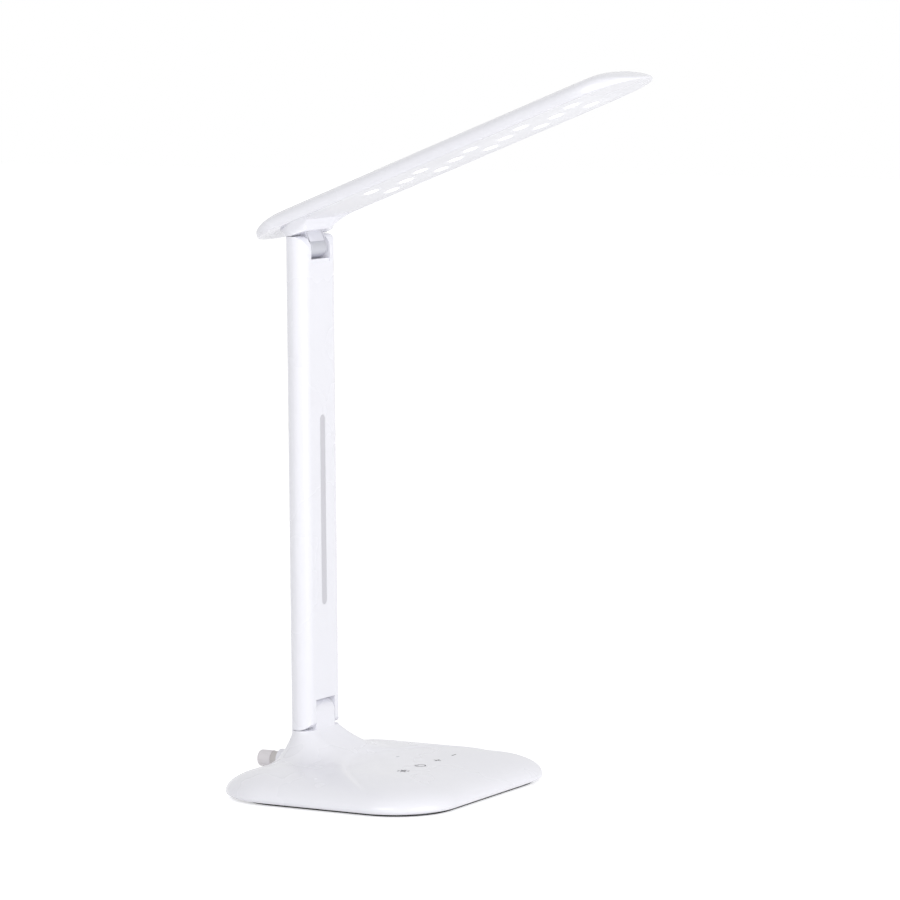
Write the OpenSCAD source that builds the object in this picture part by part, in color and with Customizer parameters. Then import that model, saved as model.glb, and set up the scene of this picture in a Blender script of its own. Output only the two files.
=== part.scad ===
// Folding desk lamp: a weighted base, an upright arm with a clevis at each end,
// and a long flat head with fourteen light sources behind a diffuser.
// The front of the lamp is -Y, up is +Z, and the origin is the centre of the foot pad's rest face.
// The model is drawn as it stands in use: arm upright, head raised to its stop.

/* [Base] */
// Width of the foot pad, side to side
pad_w = 206; // [180:1:230]
// Depth of the foot pad, front to back
pad_d = 174; // [160:1:190]
// Corner radius of the foot pad in plan
pad_corner_r = 44; // [36:1:56]
// Thickness of the foot pad
pad_t = 2; // [1.5:0.1:3]
// How far the shell swells out past the pad at each side
swell_side = 8.5; // [6:0.5:11]
// How far the shell swells out past the pad at the front
swell_front = 6.5; // [5.5:0.5:9]
// How far the shell swells out past the pad at the rear
swell_rear = 13.5; // [9:0.5:15]
// Height of the shell's widest line above the table
swell_z = 5; // [4.5:0.5:8]
// Height of the shell's top face above the table
base_h = 23.5; // [22.5:0.5:28]
// Horizontal run of the shell's rounded shoulder
rim_run = 57; // [45:1:66]
// Wall thickness of the base shell
base_wall = 2.4; // [2:0.1:2.8]
// Depth by which the touch panel lies below the rest of the top
panel_dish = 1.0; // [0.4:0.1:1.4]
// Where the touch panel's rear edge crosses the middle, from the origin
panel_edge_y = 30; // [22:1:34]

/* [Neck] */
// Distance of the arm's axis behind the origin
post_y = 66; // [60:1:70]
// How far the neck's flare runs out towards the front
flare_front = 50; // [36:1:60]
// How far the neck's flare runs out towards the rear
flare_rear = 15; // [12:1:18]

/* [Arm] */
// Width of the arm, side to side
arm_w = 51.8; // [46:0.2:58]
// Depth of the arm, front to back
arm_d = 19; // [18:0.5:21]
// Height of the lower hinge axis above the table
lower_z = 55; // [54:0.5:64]
// Distance between the two hinge axes
arm_span = 358.5; // [320:0.5:390]
// Wall thickness of the arm shells
arm_wall = 2.4; // [2:0.1:2.8]
// Width of the inlaid strip
strip_w = 7; // [5:0.5:9]
// Length of the inlaid strip
strip_l = 146.5; // [110:0.5:170]
// Height of the inlaid strip's lower end above the lower hinge axis
strip_z = 84; // [60:1:100]
// Thickness of the inlaid strip
strip_t = 0.9; // [0.6:0.1:1.2]

/* [Hinges] */
// Width of each cheek of a clevis
cheek_w = 12.2; // [11.8:0.1:13]
// Gap between a tongue and each cheek of its clevis
cheek_gap = 0.3; // [0.3:0.05:0.5]
// Gap between a tongue's round nose and the floor of its slot
nose_gap = 1.6; // [1.2:0.1:2]
// How far the arm reaches below its lower hinge axis
foot_reach = 11.5; // [10:0.5:13]
// Gap between a clevis and the shoulder that it closes on
shoulder_gap = 0.5; // [0.4:0.05:0.8]
// Radius of the hinge pins
pin_r = 2.5; // [2:0.1:2.8]
// Running clearance of a pin in its bush, on the radius
pin_fit = 0.05; // [0.03:0.01:0.08]
// Wall thickness of the lower hinge's bush
bush_t = 1.5; // [1.2:0.1:2]
// Radius of the upper hinge's barrel
barrel_r = 8.2; // [7.5:0.1:8.8]
// Height of the knuckle's lip above the upper hinge axis
lip_h = 4; // [3:0.5:5]

/* [Head] */
// Angle of the head above level
head_tilt = 21.1; // [15:0.1:30]
// Length of the head ahead of its hinge axis
head_front = 315.5; // [280:0.5:325]
// Length of the head behind its hinge axis
head_rear = 31; // [30:0.5:36]
// Half of the head's width where it is widest
head_half_w = 41; // [39:0.5:46]
// How much narrower each side is above the hinge than at the widest place
head_taper = 2; // [0:0.5:4]
// Distance from the hinge axis up to the head's under face
under_h = 18; // [17.4:0.1:20]
// Thickness of the head at the middle
head_t = 14.3; // [13:0.1:15.5]
// Wall thickness of the head housing
head_wall = 2.2; // [1.8:0.1:2.4]
// Width of the housing's rim around the lens
rim_w = 4; // [3.5:0.5:5]
// Thickness of the lens
lens_t = 1.6; // [1.2:0.1:2]

/* [Lights] */
// Number of rows that hold two light sources
led_pairs = 5; // [3:1:5]
// Distance of the first row from the hinge axis
led_start = 76; // [66:0.5:80]
// Distance of the last row behind the lens's front edge
led_nose_in = 21.5; // [18:0.5:40]
// Half the distance between the two sources of a row
led_half = 15.5; // [12:0.5:17]

/* [Controls and inlet] */
// Distance between neighbouring touch fields
key_pitch = 25.7; // [22:0.1:28]
// Number of touch fields
key_count = 4; // [3:1:4]
// Distance of the touch fields ahead of the origin
key_y = 35; // [28:0.5:38]
// Height of the cord gland's axis
gland_z = 14.5; // [13:0.5:15]
// Radius of the gland
gland_r = 6.5; // [5.5:0.1:7]
// Radius of the bore that the cord would pass through
gland_bore_r = 3.1; // [2.5:0.1:3.6]
// Distance that the gland stands out of its boss
gland_l = 18.5; // [15:0.5:20]

/* [Hidden] */

$fn = 64;
eps = 0.02;
seat = 0.1;

// Plan of the base
ring_n = 72;
wide_w = pad_w / 2 + swell_side;
wide_d = pad_d / 2 + (swell_front + swell_rear) / 2;
wide_r = pad_corner_r + swell_front;
wide_y = (swell_rear - swell_front) / 2;
turn_in = 5;
shoulder_z = lower_z - foot_reach - shoulder_gap;
stadium_r = arm_d / 2;
stadium_x = arm_w / 2 - stadium_r;
slot_w = arm_w - 2 * cheek_w;
tongue_w = slot_w - 2 * cheek_gap;

function lerp(a, b, t) = a + (b - a) * t;
function clamp(v, lo, hi) = min(max(v, lo), hi);
function smooth(t) = let (c = clamp(t, 0, 1)) c * c * (3 - 2 * c);

// Distance from a point to the inside of a rounded rectangle's edge, negative outside
function inset_of(p, hw, hd, r) =
    let (qx = abs(p.x) - (hw - r), qy = abs(p.y) - (hd - r))
    r - norm([max(qx, 0), max(qy, 0)]) - min(max(qx, qy), 0);

// Point on a rounded rectangle at a share of its length, from the rear middle, clockwise in plan
function rect_point(share, hw, hd, r) =
    let (
        a = hw - r,
        b = hd - r,
        arc = PI * r / 2,
        total = 4 * (a + b + arc),
        s = share * total,
        s1 = a, s2 = s1 + arc, s3 = s2 + 2 * b, s4 = s3 + arc,
        s5 = s4 + 2 * a, s6 = s5 + arc, s7 = s6 + 2 * b, s8 = s7 + arc
    )
    s < s1 ? [s, hd] :
    s < s2 ? [a, b] + r * [sin((s - s1) / arc * 90), cos((s - s1) / arc * 90)] :
    s < s3 ? [hw, b - (s - s2)] :
    s < s4 ? [a, -b] + r * [cos((s - s3) / arc * 90), -sin((s - s3) / arc * 90)] :
    s < s5 ? [a - (s - s4), -hd] :
    s < s6 ? [-a, -b] + r * [-sin((s - s5) / arc * 90), -cos((s - s5) / arc * 90)] :
    s < s7 ? [-hw, -b + (s - s6)] :
    s < s8 ? [-a, b] + r * [-cos((s - s7) / arc * 90), sin((s - s7) / arc * 90)] :
    [-a + (s - s8), hd];

// The arm's cross section: flat front and back, round sides
function neck_point(share) = [0, post_y] + rect_point(share, arm_w / 2, stadium_r, stadium_r);
function swell_point(share, inset) =
    [0, wide_y] + rect_point(share, wide_w - inset, wide_d - inset, wide_r - inset);
function edge_inset(p) = inset_of(p - [0, wide_y], wide_w, wide_d, wide_r);

// Distance from a plan point to the neck's section, and how far the flare runs that way
function neck_offset(p) = [p.x - clamp(p.x, -stadium_x, stadium_x), p.y - post_y];
function neck_distance(p) = max(norm(neck_offset(p)) - stadium_r, 0);
function flare_reach(p) =
    let (o = neck_offset(p), c = -o.y / max(norm(o), eps))
    lerp(flare_rear, flare_front, (1 + c) / 2);

// Height of the plain dome: an elliptic shoulder that rises to a flat top
function dome_z(p) =
    let (d = clamp(edge_inset(p) / rim_run, 0, 1))
    swell_z + (base_h - swell_z) * sqrt(1 - (1 - d) * (1 - d));

// The touch panel is sunk ahead of a curved edge that sweeps forward at both sides
panel_curve = 154;
panel_ramp = 7;
panel_run = 30;
function panel_z(p) =
    let (behind = p.y - panel_edge_y + p.x * p.x / panel_curve)
    panel_dish * (smooth(1 + behind / panel_ramp) - 1)
    * smooth(edge_inset(p) / panel_run);

// The flare falls from the shoulder to the dome with a hollow curve
flare_power = 2.2;
flare_fade = 9;
function flare_z(p) =
    let (
        t = clamp(neck_distance(p) / flare_reach(p), 0, 1),
        fade = smooth(edge_inset(p) / flare_fade)
    )
    (shoulder_z - base_h) * pow(1 - t, flare_power) * fade;

function shell_z(p) = dome_z(p) + panel_z(p) + flare_z(p);

// Shares of the way from the neck to the swell at which the rings lie, from the swell inwards,
// and the angles of the rings that turn in below the swell, from the pad up
top_steps = [1, 0.9985, 0.994, 0.985, 0.97, 0.945, 0.91, 0.86, 0.8, 0.73, 0.65, 0.56, 0.47,
    0.38, 0.3, 0.23, 0.17, 0.12, 0.08, 0.05, 0.028, 0.012, 0];
under_steps = [90, 70, 45, 20];

function top_ring(w) = [
    for (i = [0:ring_n - 1])
        let (p = lerp(neck_point(i / ring_n), swell_point(i / ring_n, 0), w))
        [p.x, p.y, w == 0 ? shoulder_z : shell_z(p)]
];
function under_ring(angle) = [
    for (i = [0:ring_n - 1])
        let (p = swell_point(i / ring_n, turn_in * (1 - cos(angle))))
        [p.x, p.y, swell_z - (swell_z - pad_t) * sin(angle)]
];

// The hollow follows the dome one wall thickness lower
cavity_steps = [1, 0.97, 0.93, 0.87, 0.78, 0.65, 0.5, 0.3, 0];
cavity_inset = turn_in + base_wall;
rebate = 0.5;
roof_t = base_wall * 1.15;
function cavity_ring(w) = [
    for (i = [0:ring_n / 2 - 1])
        let (
            share = 2 * i / ring_n,
            p = lerp(neck_point(share), swell_point(share, cavity_inset), w)
        )
        [p.x, p.y, dome_z(p) - panel_dish - roof_t]
];
function cavity_floor_ring() = [
    for (i = [0:ring_n / 2 - 1])
        let (p = swell_point(2 * i / ring_n, cavity_inset))
        [p.x, p.y, pad_t - 1]
];

function mean(ring) = [for (v = ring) 1] * ring / len(ring);

// A closed skin over a list of rings, each end closed by a fan
module skin(rings) {
    n = len(rings[0]);
    m = len(rings);
    points = [for (r = rings) each r, mean(rings[0]), mean(rings[m - 1])];
    sides = [
        for (j = [0:m - 2]) for (i = [0:n - 1])
            let (k = (i + 1) % n)
            each [
                [j * n + i, j * n + k, (j + 1) * n + i],
                [j * n + k, (j + 1) * n + k, (j + 1) * n + i]
            ]
    ];
    first = [for (i = [0:n - 1]) [m * n, (i + 1) % n, i]];
    last = [for (i = [0:n - 1]) [m * n + 1, (m - 1) * n + i, (m - 1) * n + (i + 1) % n]];
    polyhedron(points = points, faces = concat(sides, first, last), convexity = 8);
}

module rounded_rect(w, d, r) {
    square([w, d - 2 * r], center = true);
    square([w - 2 * r, d], center = true);
    for (sx = [-1, 1], sy = [-1, 1])
        translate([sx * (w / 2 - r), sy * (d / 2 - r)])
            circle(r);
}

// A round bar or bore along X, centred on a hinge axis
module bar_x(r, length, from = 0) {
    translate([from, 0, 0])
        rotate([0, 90, 0])
            cylinder(r = r, h = length);
}

// Tongue profile in the Y-Z plane, drawn out along X: a round nose and a leg
module tongue(leg) {
    translate([-tongue_w / 2, 0, 0])
        rotate([90, 0, 90])
            linear_extrude(tongue_w) {
                circle(stadium_r);
                translate([-stadium_r, -leg])
                    square([arm_d, leg]);
            }
}

// Screws
screw_r = 1.4;
screw_head_r = 2.8;
screw_head_t = 1.6;
boss_r = 4;
cover_t = 2.5;
cover_gap = 0.2;
cover_z = pad_t + cover_t;
cover_screw_in_x = 26;
cover_screw_in_y = 24;
cover_screw_x = pad_w / 2 - cover_screw_in_x;
cover_screw_y = pad_d / 2 - cover_screw_in_y;
cover_screw_l = 9;
board_screw_l = 5;
boss_corner = [cover_screw_x + boss_r, -cover_screw_y - boss_r];
cover_boss_top = dome_z(boss_corner) - roof_t * 0.4;
ceiling_z = base_h - panel_dish - roof_t;
board_t = 1.6;
board_z = ceiling_z - 3.4;
board_w = (key_count - 1) * key_pitch + 30;
board_front = -key_y - 14;
board_rear = 8;
board_screw_x = board_w / 2 - 5;
board_screw_y = [board_front + 5, board_rear - 5];
pipe_r = 1.2;
pipe_x = key_pitch / 2;
pipe_y = 0;
boss_in = 2.5;
boss_tip = wide_y + wide_d - boss_in;
boss_root = post_y + arm_d / 2 - 2;
gland_boss_r = gland_r + 2;
collar_r = gland_r - 0.4;
collar_l = 6.5;
spigot_l = 6;

module at_cover_screws() {
    for (sx = [-1, 1], sy = [-1, 1])
        translate([sx * cover_screw_x, sy * cover_screw_y, 0])
            children();
}

module at_board_screws() {
    for (sx = [-1, 1], y = board_screw_y)
        translate([sx * board_screw_x, y, 0])
            children();
}

module screw(length) {
    cylinder(r = screw_head_r, h = screw_head_t);
    cylinder(r = screw_r, h = length);
}

module along_y(r, from, to) {
    translate([0, from, gland_z])
        rotate([-90, 0, 0])
            cylinder(r = r, h = to - from);
}

// The shell's widest outline drawn in
module underside_outline(inset) {
    translate([0, wide_y])
        rounded_rect(2 * (wide_w - inset), 2 * (wide_d - inset), wide_r - inset);
}

// Upper housing of the base: dome, flared neck and tongue in one moulding
module base_shell() {
    color("white")
        difference() {
            union() {
                difference() {
                    skin([for (a = under_steps) under_ring(a), for (w = top_steps) top_ring(w)]);
                    skin([cavity_floor_ring(), for (w = cavity_steps) cavity_ring(w)]);
                    translate([0, 0, pad_t - 1])
                        linear_extrude(1 + cover_t + seat)
                            underside_outline(cavity_inset - rebate);
                }
                translate([0, post_y, lower_z])
                    tongue(lower_z - shoulder_z + 2);
                along_y(gland_boss_r, boss_root, boss_tip);
                at_cover_screws()
                    translate([0, 0, cover_z])
                        cylinder(r = boss_r, h = cover_boss_top - cover_z);
                at_board_screws()
                    translate([0, 0, board_z + board_t])
                        cylinder(r = boss_r - 1, h = ceiling_z - board_z - board_t + 0.8);
            }
            translate([0, post_y, lower_z])
                bar_x(pin_r + bush_t, tongue_w + 2, -tongue_w / 2 - 1);
            along_y(gland_bore_r, boss_root - 1, boss_tip + 1);
            along_y(gland_r - 1.5, boss_tip - spigot_l, boss_tip + 1);
            along_y(collar_r + seat, boss_tip, boss_tip + collar_l);
            at_cover_screws()
                translate([0, 0, pad_t])
                    cylinder(r = screw_r, h = cover_screw_l + 1);
            at_board_screws()
                translate([0, 0, board_z])
                    cylinder(r = screw_r, h = board_screw_l - screw_head_t + 0.5);
            translate([pipe_x, pipe_y, board_z])
                cylinder(r = pipe_r + seat, h = 12);
        }
}

// Plate that closes the underside
module bottom_cover() {
    color("gainsboro")
        translate([0, 0, pad_t])
            difference() {
                linear_extrude(cover_t)
                    underside_outline(cavity_inset - rebate + cover_gap);
                at_cover_screws() {
                    translate([0, 0, -1])
                        cylinder(r = screw_r + seat, h = cover_t + 2);
                    translate([0, 0, -1])
                        cylinder(r = screw_head_r + seat, h = screw_head_t + 1);
                }
            }
}

// Black pad that the lamp stands on
module foot_pad() {
    color("#151515")
        linear_extrude(pad_t)
            rounded_rect(pad_w, pad_d, pad_corner_r);
}

ballast_in_x = 43;
ballast_in_y = 32;
ballast_w = pad_w - 2 * ballast_in_x;
ballast_d = pad_d - 2 * ballast_in_y;
ballast_corner_r = 6;
ballast_t = 5;
ballast_y = 8;

// Steel plate that keeps the lamp from tipping
module ballast_plate() {
    color("slategray")
        translate([0, ballast_y, cover_z])
            linear_extrude(ballast_t)
                rounded_rect(ballast_w, ballast_d, ballast_corner_r);
}

// Screws that hold the bottom cover, hidden by the pad
module cover_screws() {
    color("silver")
        at_cover_screws()
            translate([0, 0, pad_t])
                screw(cover_screw_l);
}

// Circuit board under the touch panel
module touch_board() {
    color("seagreen")
        difference() {
            translate([0, (board_front + board_rear) / 2, board_z])
                linear_extrude(board_t)
                    rounded_rect(board_w, board_rear - board_front, 2);
            at_board_screws()
                translate([0, 0, board_z - 1])
                    cylinder(r = screw_r + seat, h = board_t + 2);
        }
}

spring_r = 3.2;
spring_wire = 0.8;

// Contact springs between the board and the touch fields, drawn as short sleeves
module touch_springs() {
    color("silver")
        for (i = [0:key_count - 1])
            translate([(i - (key_count - 1) / 2) * key_pitch, -key_y, board_z + board_t])
                difference() {
                    cylinder(r = spring_r, h = ceiling_z - board_z - board_t - 0.3);
                    translate([0, 0, -1])
                        cylinder(r = spring_r - spring_wire, h = 6);
                }
}

module board_screws() {
    color("silver")
        at_board_screws()
            translate([0, 0, board_z - screw_head_t])
                screw(board_screw_l);
}

// Light pipe that shows a faint dot on the top face
module indicator_pipe() {
    color("aliceblue")
        translate([pipe_x, pipe_y, board_z + board_t])
            cylinder(r = pipe_r, h = base_h - panel_dish - board_z - board_t - seat);
}

// Dark collar between the boss and the gland
module gland_collar() {
    color("dimgray")
        difference() {
            union() {
                along_y(collar_r, boss_tip, boss_tip + collar_l);
                along_y(gland_r - 1.5, boss_tip - spigot_l, boss_tip);
            }
            along_y(gland_bore_r, boss_tip - spigot_l - 1, boss_tip + collar_l + 1);
        }
}

gland_round = 2;

// Grey gland with a rounded outer end and an open bore
module cord_gland() {
    color("silver")
        translate([0, boss_tip + collar_l, gland_z])
            rotate([-90, 0, 0])
                rotate_extrude()
                    difference() {
                        union() {
                            square([gland_r, gland_l - collar_l - gland_round]);
                            square([gland_r - gland_round, gland_l - collar_l]);
                            translate([gland_r - gland_round, gland_l - collar_l - gland_round])
                                circle(gland_round);
                        }
                        translate([-gland_r, -1])
                            square([gland_r + gland_bore_r, gland_l + 2]);
                    }
}

// Sleeve or barrel pressed into a tongue, in which a hinge pin turns
module hinge_bush(r) {
    difference() {
        bar_x(r, tongue_w, -tongue_w / 2);
        bar_x(pin_r + pin_fit, tongue_w + 2, -tongue_w / 2 - 1);
    }
}

module lower_bush() {
    color("goldenrod")
        translate([0, post_y, lower_z])
            hinge_bush(pin_r + bush_t);
}

// Arm
slot_floor = stadium_r + nose_gap;
floor_t = 2.4;
cheek_t = 2.6;
pocket_in = slot_w / 2 + cheek_t;
pocket_out = arm_w / 2 - arm_wall - 0.6;
pocket_d = arm_d - 2 * arm_wall;
head_disc_r = 4.6;
head_disc_t = 1.8;
washer_r = 4.8;
washer_t = 0.6;
nut_t = 3;
upper_z = lower_z + arm_span;

module stadium(w, d) {
    square([w - d, d], center = true);
    for (sx = [-1, 1])
        translate([sx * (w - d) / 2, 0])
            circle(d / 2);
}

// Removes what lies past a fork's rounded front corner: end is -1 at the foot, 1 at the top
module front_corner_cut(end) {
    reach = end > 0 ? stadium_r : foot_reach;
    translate([-arm_w / 2 - 1, 0, 0])
        rotate([90, 0, 90])
            linear_extrude(arm_w + 2)
                difference() {
                    translate([-arm_d, end > 0 ? 0 : -arm_d])
                        square([arm_d, arm_d]);
                    circle(reach);
                }
}

// Slot for the tongue at one end, and the pocket in each cheek
module fork_cut(end) {
    translate([-slot_w / 2, -arm_d, end > 0 ? -slot_floor : -arm_d])
        cube([slot_w, 2 * arm_d, arm_d + slot_floor]);
    front_corner_cut(end);
    for (side = [-1, 1])
        intersection() {
            translate([0, 0, -stadium_r + arm_wall])
                linear_extrude(arm_d - 2 * arm_wall)
                    stadium(2 * pocket_out, pocket_d);
            bar_x(pocket_d / 2 - 0.4, pocket_out - pocket_in, side > 0 ? pocket_in : -pocket_out);
        }
    bar_x(pin_r, arm_w - 2 * arm_wall - 6, -(arm_w - 2 * arm_wall - 6) / 2);
}

// Whole arm, from which the two half shells are taken
module arm_form() {
    difference() {
        translate([0, post_y, lower_z - foot_reach])
            linear_extrude(arm_span + foot_reach + stadium_r)
                stadium(arm_w, arm_d);
        translate([0, post_y, lower_z + slot_floor + floor_t])
            linear_extrude(arm_span - 2 * (slot_floor + floor_t))
                stadium(arm_w - 2 * arm_wall, pocket_d);
        translate([0, post_y, lower_z])
            fork_cut(-1);
        translate([0, post_y, upper_z])
            fork_cut(1);
    }
}

module half_space(front) {
    translate([-arm_w, front ? post_y - 2 * arm_d : post_y, 0])
        cube([2 * arm_w, 2 * arm_d, upper_z + 2 * arm_d]);
}

module strip_outline(grow) {
    stadium_l = strip_l + 2 * grow;
    translate([0, 0, lower_z + strip_z + strip_l / 2])
        rotate([90, 90, 0])
            linear_extrude(strip_t + grow)
                stadium(stadium_l, strip_w + 2 * grow);
}

module arm_front_shell() {
    color("white")
        difference() {
            intersection() {
                arm_form();
                half_space(true);
            }
            translate([0, post_y - stadium_r + strip_t + seat, 0])
                strip_outline(seat);
        }
}

module arm_back_shell() {
    color("whitesmoke")
        intersection() {
            arm_form();
            half_space(false);
        }
}

// Light grey strip let into the front of the arm
module arm_strip() {
    color("lightgray")
        translate([0, post_y - stadium_r + strip_t, 0])
            strip_outline(0);
}

lead_r = 1.6;

// Lead that runs up inside the arm
module arm_lead() {
    color("dimgray")
        translate([stadium_x, post_y, lower_z + slot_floor + floor_t])
            cylinder(r = lead_r, h = arm_span - 2 * (slot_floor + floor_t));
}

pin_end = pocket_in + 2 * washer_t + nut_t + 0.4;

// Pin with a flat head in one cheek, fixed to the arm
module hinge_pin() {
    bar_x(pin_r, pocket_in + pin_end, -pocket_in);
    bar_x(head_disc_r, head_disc_t, -pocket_in - head_disc_t);
}

// Friction washers between the cheek and the nut
module hinge_washers() {
    for (i = [0, 1])
        difference() {
            bar_x(washer_r, washer_t, pocket_in + i * washer_t);
            bar_x(pin_r, washer_t + 1, pocket_in + i * washer_t - 0.5);
        }
}

module hinge_nut() {
    difference() {
        translate([pocket_in + 2 * washer_t, 0, 0])
            rotate([0, 90, 0])
                cylinder(r = washer_r, h = nut_t, $fn = 6);
        bar_x(pin_r, nut_t + 2, pocket_in + 2 * washer_t - 1);
    }
}

module lower_pin() {
    color("gray")
        translate([0, post_y, lower_z])
            hinge_pin();
}

module lower_washers() {
    color("darkgray")
        translate([0, post_y, lower_z])
            hinge_washers();
}

module lower_nut() {
    color("silver")
        translate([0, post_y, lower_z])
            hinge_nut();
}

module upper_pin() {
    color("gray")
        translate([0, post_y, upper_z])
            hinge_pin();
}

module upper_washers() {
    color("darkgray")
        translate([0, post_y, upper_z])
            hinge_washers();
}

module upper_nut() {
    color("silver")
        translate([0, post_y, upper_z])
            hinge_nut();
}

// Head. In its own frame the head points along -Y with its under face level,
// and the origin is the upper hinge axis.
module head_place() {
    translate([0, post_y, upper_z])
        rotate([-head_tilt, 0, 0])
            children();
}

nose_run = 54;
tail_run = 28;
nose_power = 2.6;
tail_power = 2.4;
widest_s = 220;

// Half width of the head at a distance s ahead of the hinge axis, drawn in by an inset
function head_w(s, inset) =
    let (
        side = head_half_w - head_taper * clamp(1 - s / widest_s, 0, 1) - inset,
        front = head_front - inset,
        rear = head_rear - inset,
        nose = clamp((s - front + nose_run) / nose_run, 0, 1),
        tail = clamp((-s - rear + tail_run) / tail_run, 0, 1)
    )
    side * pow(max(1 - pow(nose, nose_power), 0), 1 / nose_power)
    * pow(max(1 - pow(tail, tail_power), 0), 1 / tail_power);

// Height of the crown along the middle, which falls away at the nose and at the tail
crown_nose = 30;
nose_edge = 1.5;
tail_edge = 2;
crown_tail_power = 1.64;
function crown_h(s) =
    let (
        nose = clamp((s - head_front + crown_nose) / crown_nose, 0, 1),
        tail = clamp(-s / head_rear, 0, 1),
        by_nose = nose_edge + (head_t - nose_edge) * (1 - nose * nose),
        round_tail = pow(1 - pow(tail, crown_tail_power), 1 / crown_tail_power),
        by_tail = tail_edge + (head_t - tail_edge) * round_tail
    )
    min(by_nose, by_tail);

arch_out = 2.2;
arch_in = 3.4;
arch_n = 26;
edge_round = 1.4;

// Cross section of the head: a flat under face, a small rounded edge and an arched top
function head_ring(s, inset, wall) =
    let (
        w = max(head_w(s, inset), 0.05),
        h = max(crown_h(s) - wall, 0.4),
        lift = min(edge_round, h / 3)
    )
    [
        [-w + min(edge_round, w / 3), -s, under_h],
        for (i = [0:arch_n])
            let (v = -cos(180 * i / arch_n), rise = pow(max(1 - pow(abs(v), arch_out), 0), 1 / arch_in))
            [w * v, -s, under_h + lift + (h - lift) * rise],
        [w - min(edge_round, w / 3), -s, under_h]
    ];

head_steps = [0.002, 0.01, 0.035, 0.075, 0.13, 0.2, 0.28, 0.38, 0.5, 0.64, 0.8, 1];
function head_stations(inset) = [
    for (t = head_steps) -head_rear + inset + tail_run * t,
    for (t = [0.25:0.25:0.75]) lerp(-head_rear + tail_run, head_front - nose_run, t),
    for (i = [len(head_steps) - 1:-1:0]) head_front - inset - nose_run * head_steps[i]
];

function head_outline(inset) =
    let (s = head_stations(inset))
    concat(
        [for (v = s) [head_w(v, inset), -v]],
        [for (i = [len(s) - 1:-1:0]) [-head_w(s[i], inset), -s[i]]]
    );

nose_solid = 34;
lens_front = head_front - nose_solid;
lens_rear = -1.5 * stadium_r;
lens_fit = 0.25;
ledge_w = 2;

// Outline of the lens opening: the head's own outline drawn in, square at the nose
module lens_outline(grow) {
    intersection() {
        polygon(head_outline(rim_w - grow));
        translate([-head_half_w, -lens_front - grow])
            square([2 * head_half_w, lens_front + lens_rear + 2 * grow]);
    }
}

knuckle_n = 48;
knuckle_top = under_h + head_t - 0.7 * head_wall;
knuckle_draft = 6;
knuckle_shift = -4;
foot_h = stadium_r + shoulder_gap;
root_w = head_half_w - head_taper - edge_round - 0.2;
root_d = stadium_r + 3;
root_power = 1.5;
sweep_from = 18;
sweep_run = 20;
sweep_out = 15;

// Outline of the knuckle at a height above the hinge axis, in the head's frame. Spread says how
// far it has grown from the arm's outline to its root, whose sides sweep forward
function knuckle_ring(h, spread, grow = 0) = [
    for (i = [0:knuckle_n - 1])
        let (
            w = lerp(arm_w / 2, root_w, spread) + grow,
            d = lerp(stadium_r, root_d, spread) + grow,
            p = rect_point(i / knuckle_n, w, d, stadium_r + grow),
            sweep = sweep_out * spread * smooth((abs(p.x) - sweep_from) / sweep_run)
        )
        [p.x, p.y + knuckle_shift - sweep, h]
];

// Flared root of the knuckle: it widens to the head's edges as it meets the under face
function knuckle_rings() = concat(
    [for (t = [0:0.125:1]) knuckle_ring(lerp(foot_h, under_h + 0.2, t), pow(t, root_power))],
    [knuckle_ring(knuckle_top, 0, -knuckle_draft)]
);

// Where the knuckle's root passes through the lens
module root_outline(grow) {
    offset(delta = grow)
        polygon([for (p = knuckle_ring(0, 1)) [p.x, p.y]]);
}

// Space below the level at which the knuckle rests on the arm's flat top
module below_foot() {
    rotate([head_tilt, 0, 0])
        translate([-arm_w, -arm_w, -arm_w])
            cube([2 * arm_w, 2 * arm_w, arm_w + foot_h]);
}

// The knuckle's leg ends in a saddle over the hinge barrel
module knuckle() {
    difference() {
        skin(knuckle_rings());
        below_foot();
    }
    rotate([180 - head_tilt / 2, 0, 0])
        difference() {
            tongue(foot_h + 6);
            translate([-arm_w, -arm_d, -lip_h])
                cube([2 * arm_w, 2 * arm_d, arm_d]);
        }
}

// Hollow above the lens; the ledge's outline trims its lower edge
module head_cavity() {
    inset = rim_w + ledge_w - 1;
    skin([for (s = head_stations(inset)) head_ring(s, inset, head_wall + lens_t)]);
}

post_r = 3;
board_h = 6.2;
led_board_t = 1.2;
spreader_t = 1;
led_board_w = 44;
led_pitch = (lens_front - led_nose_in - led_start) / (led_pairs - 1);
led_board_rear = led_start - 16;
led_board_front = led_start + (led_pairs - 1) * led_pitch + 14;
led_screw_in = 6;
led_screw_s = [led_board_rear + led_screw_in, led_board_front - led_screw_in];
led_screw_l = 6;

module at_led_screws() {
    for (s = led_screw_s)
        translate([0, -s, under_h])
            children();
}

module head_housing() {
    color("white")
        head_place()
            difference() {
                union() {
                    difference() {
                        skin([for (s = head_stations(0)) head_ring(s, 0, 0)]);
                        translate([0, 0, under_h - 1])
                            linear_extrude(1 + lens_t)
                                lens_outline(lens_fit);
                        intersection() {
                            translate([0, 0, lens_t - eps])
                                head_cavity();
                            translate([0, 0, under_h])
                                linear_extrude(head_t)
                                    lens_outline(-ledge_w);
                        }
                    }
                    knuckle();
                    at_led_screws()
                        translate([0, 0, board_h + led_board_t + spreader_t])
                            cylinder(r = post_r, h = head_t - board_h - led_board_t - spreader_t - 1);
                }
                bar_x(barrel_r, tongue_w + 2, -tongue_w / 2 - 1);
                at_led_screws()
                    translate([0, 0, board_h - 1])
                        cylinder(r = screw_r, h = 6);
            }
}

// Frosted sheet that closes the under face and lets the knuckle through
module lens() {
    color("ivory")
        head_place()
            translate([0, 0, under_h])
                linear_extrude(lens_t)
                    difference() {
                        lens_outline(0);
                        root_outline(2 * lens_fit);
                    }
}

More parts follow.
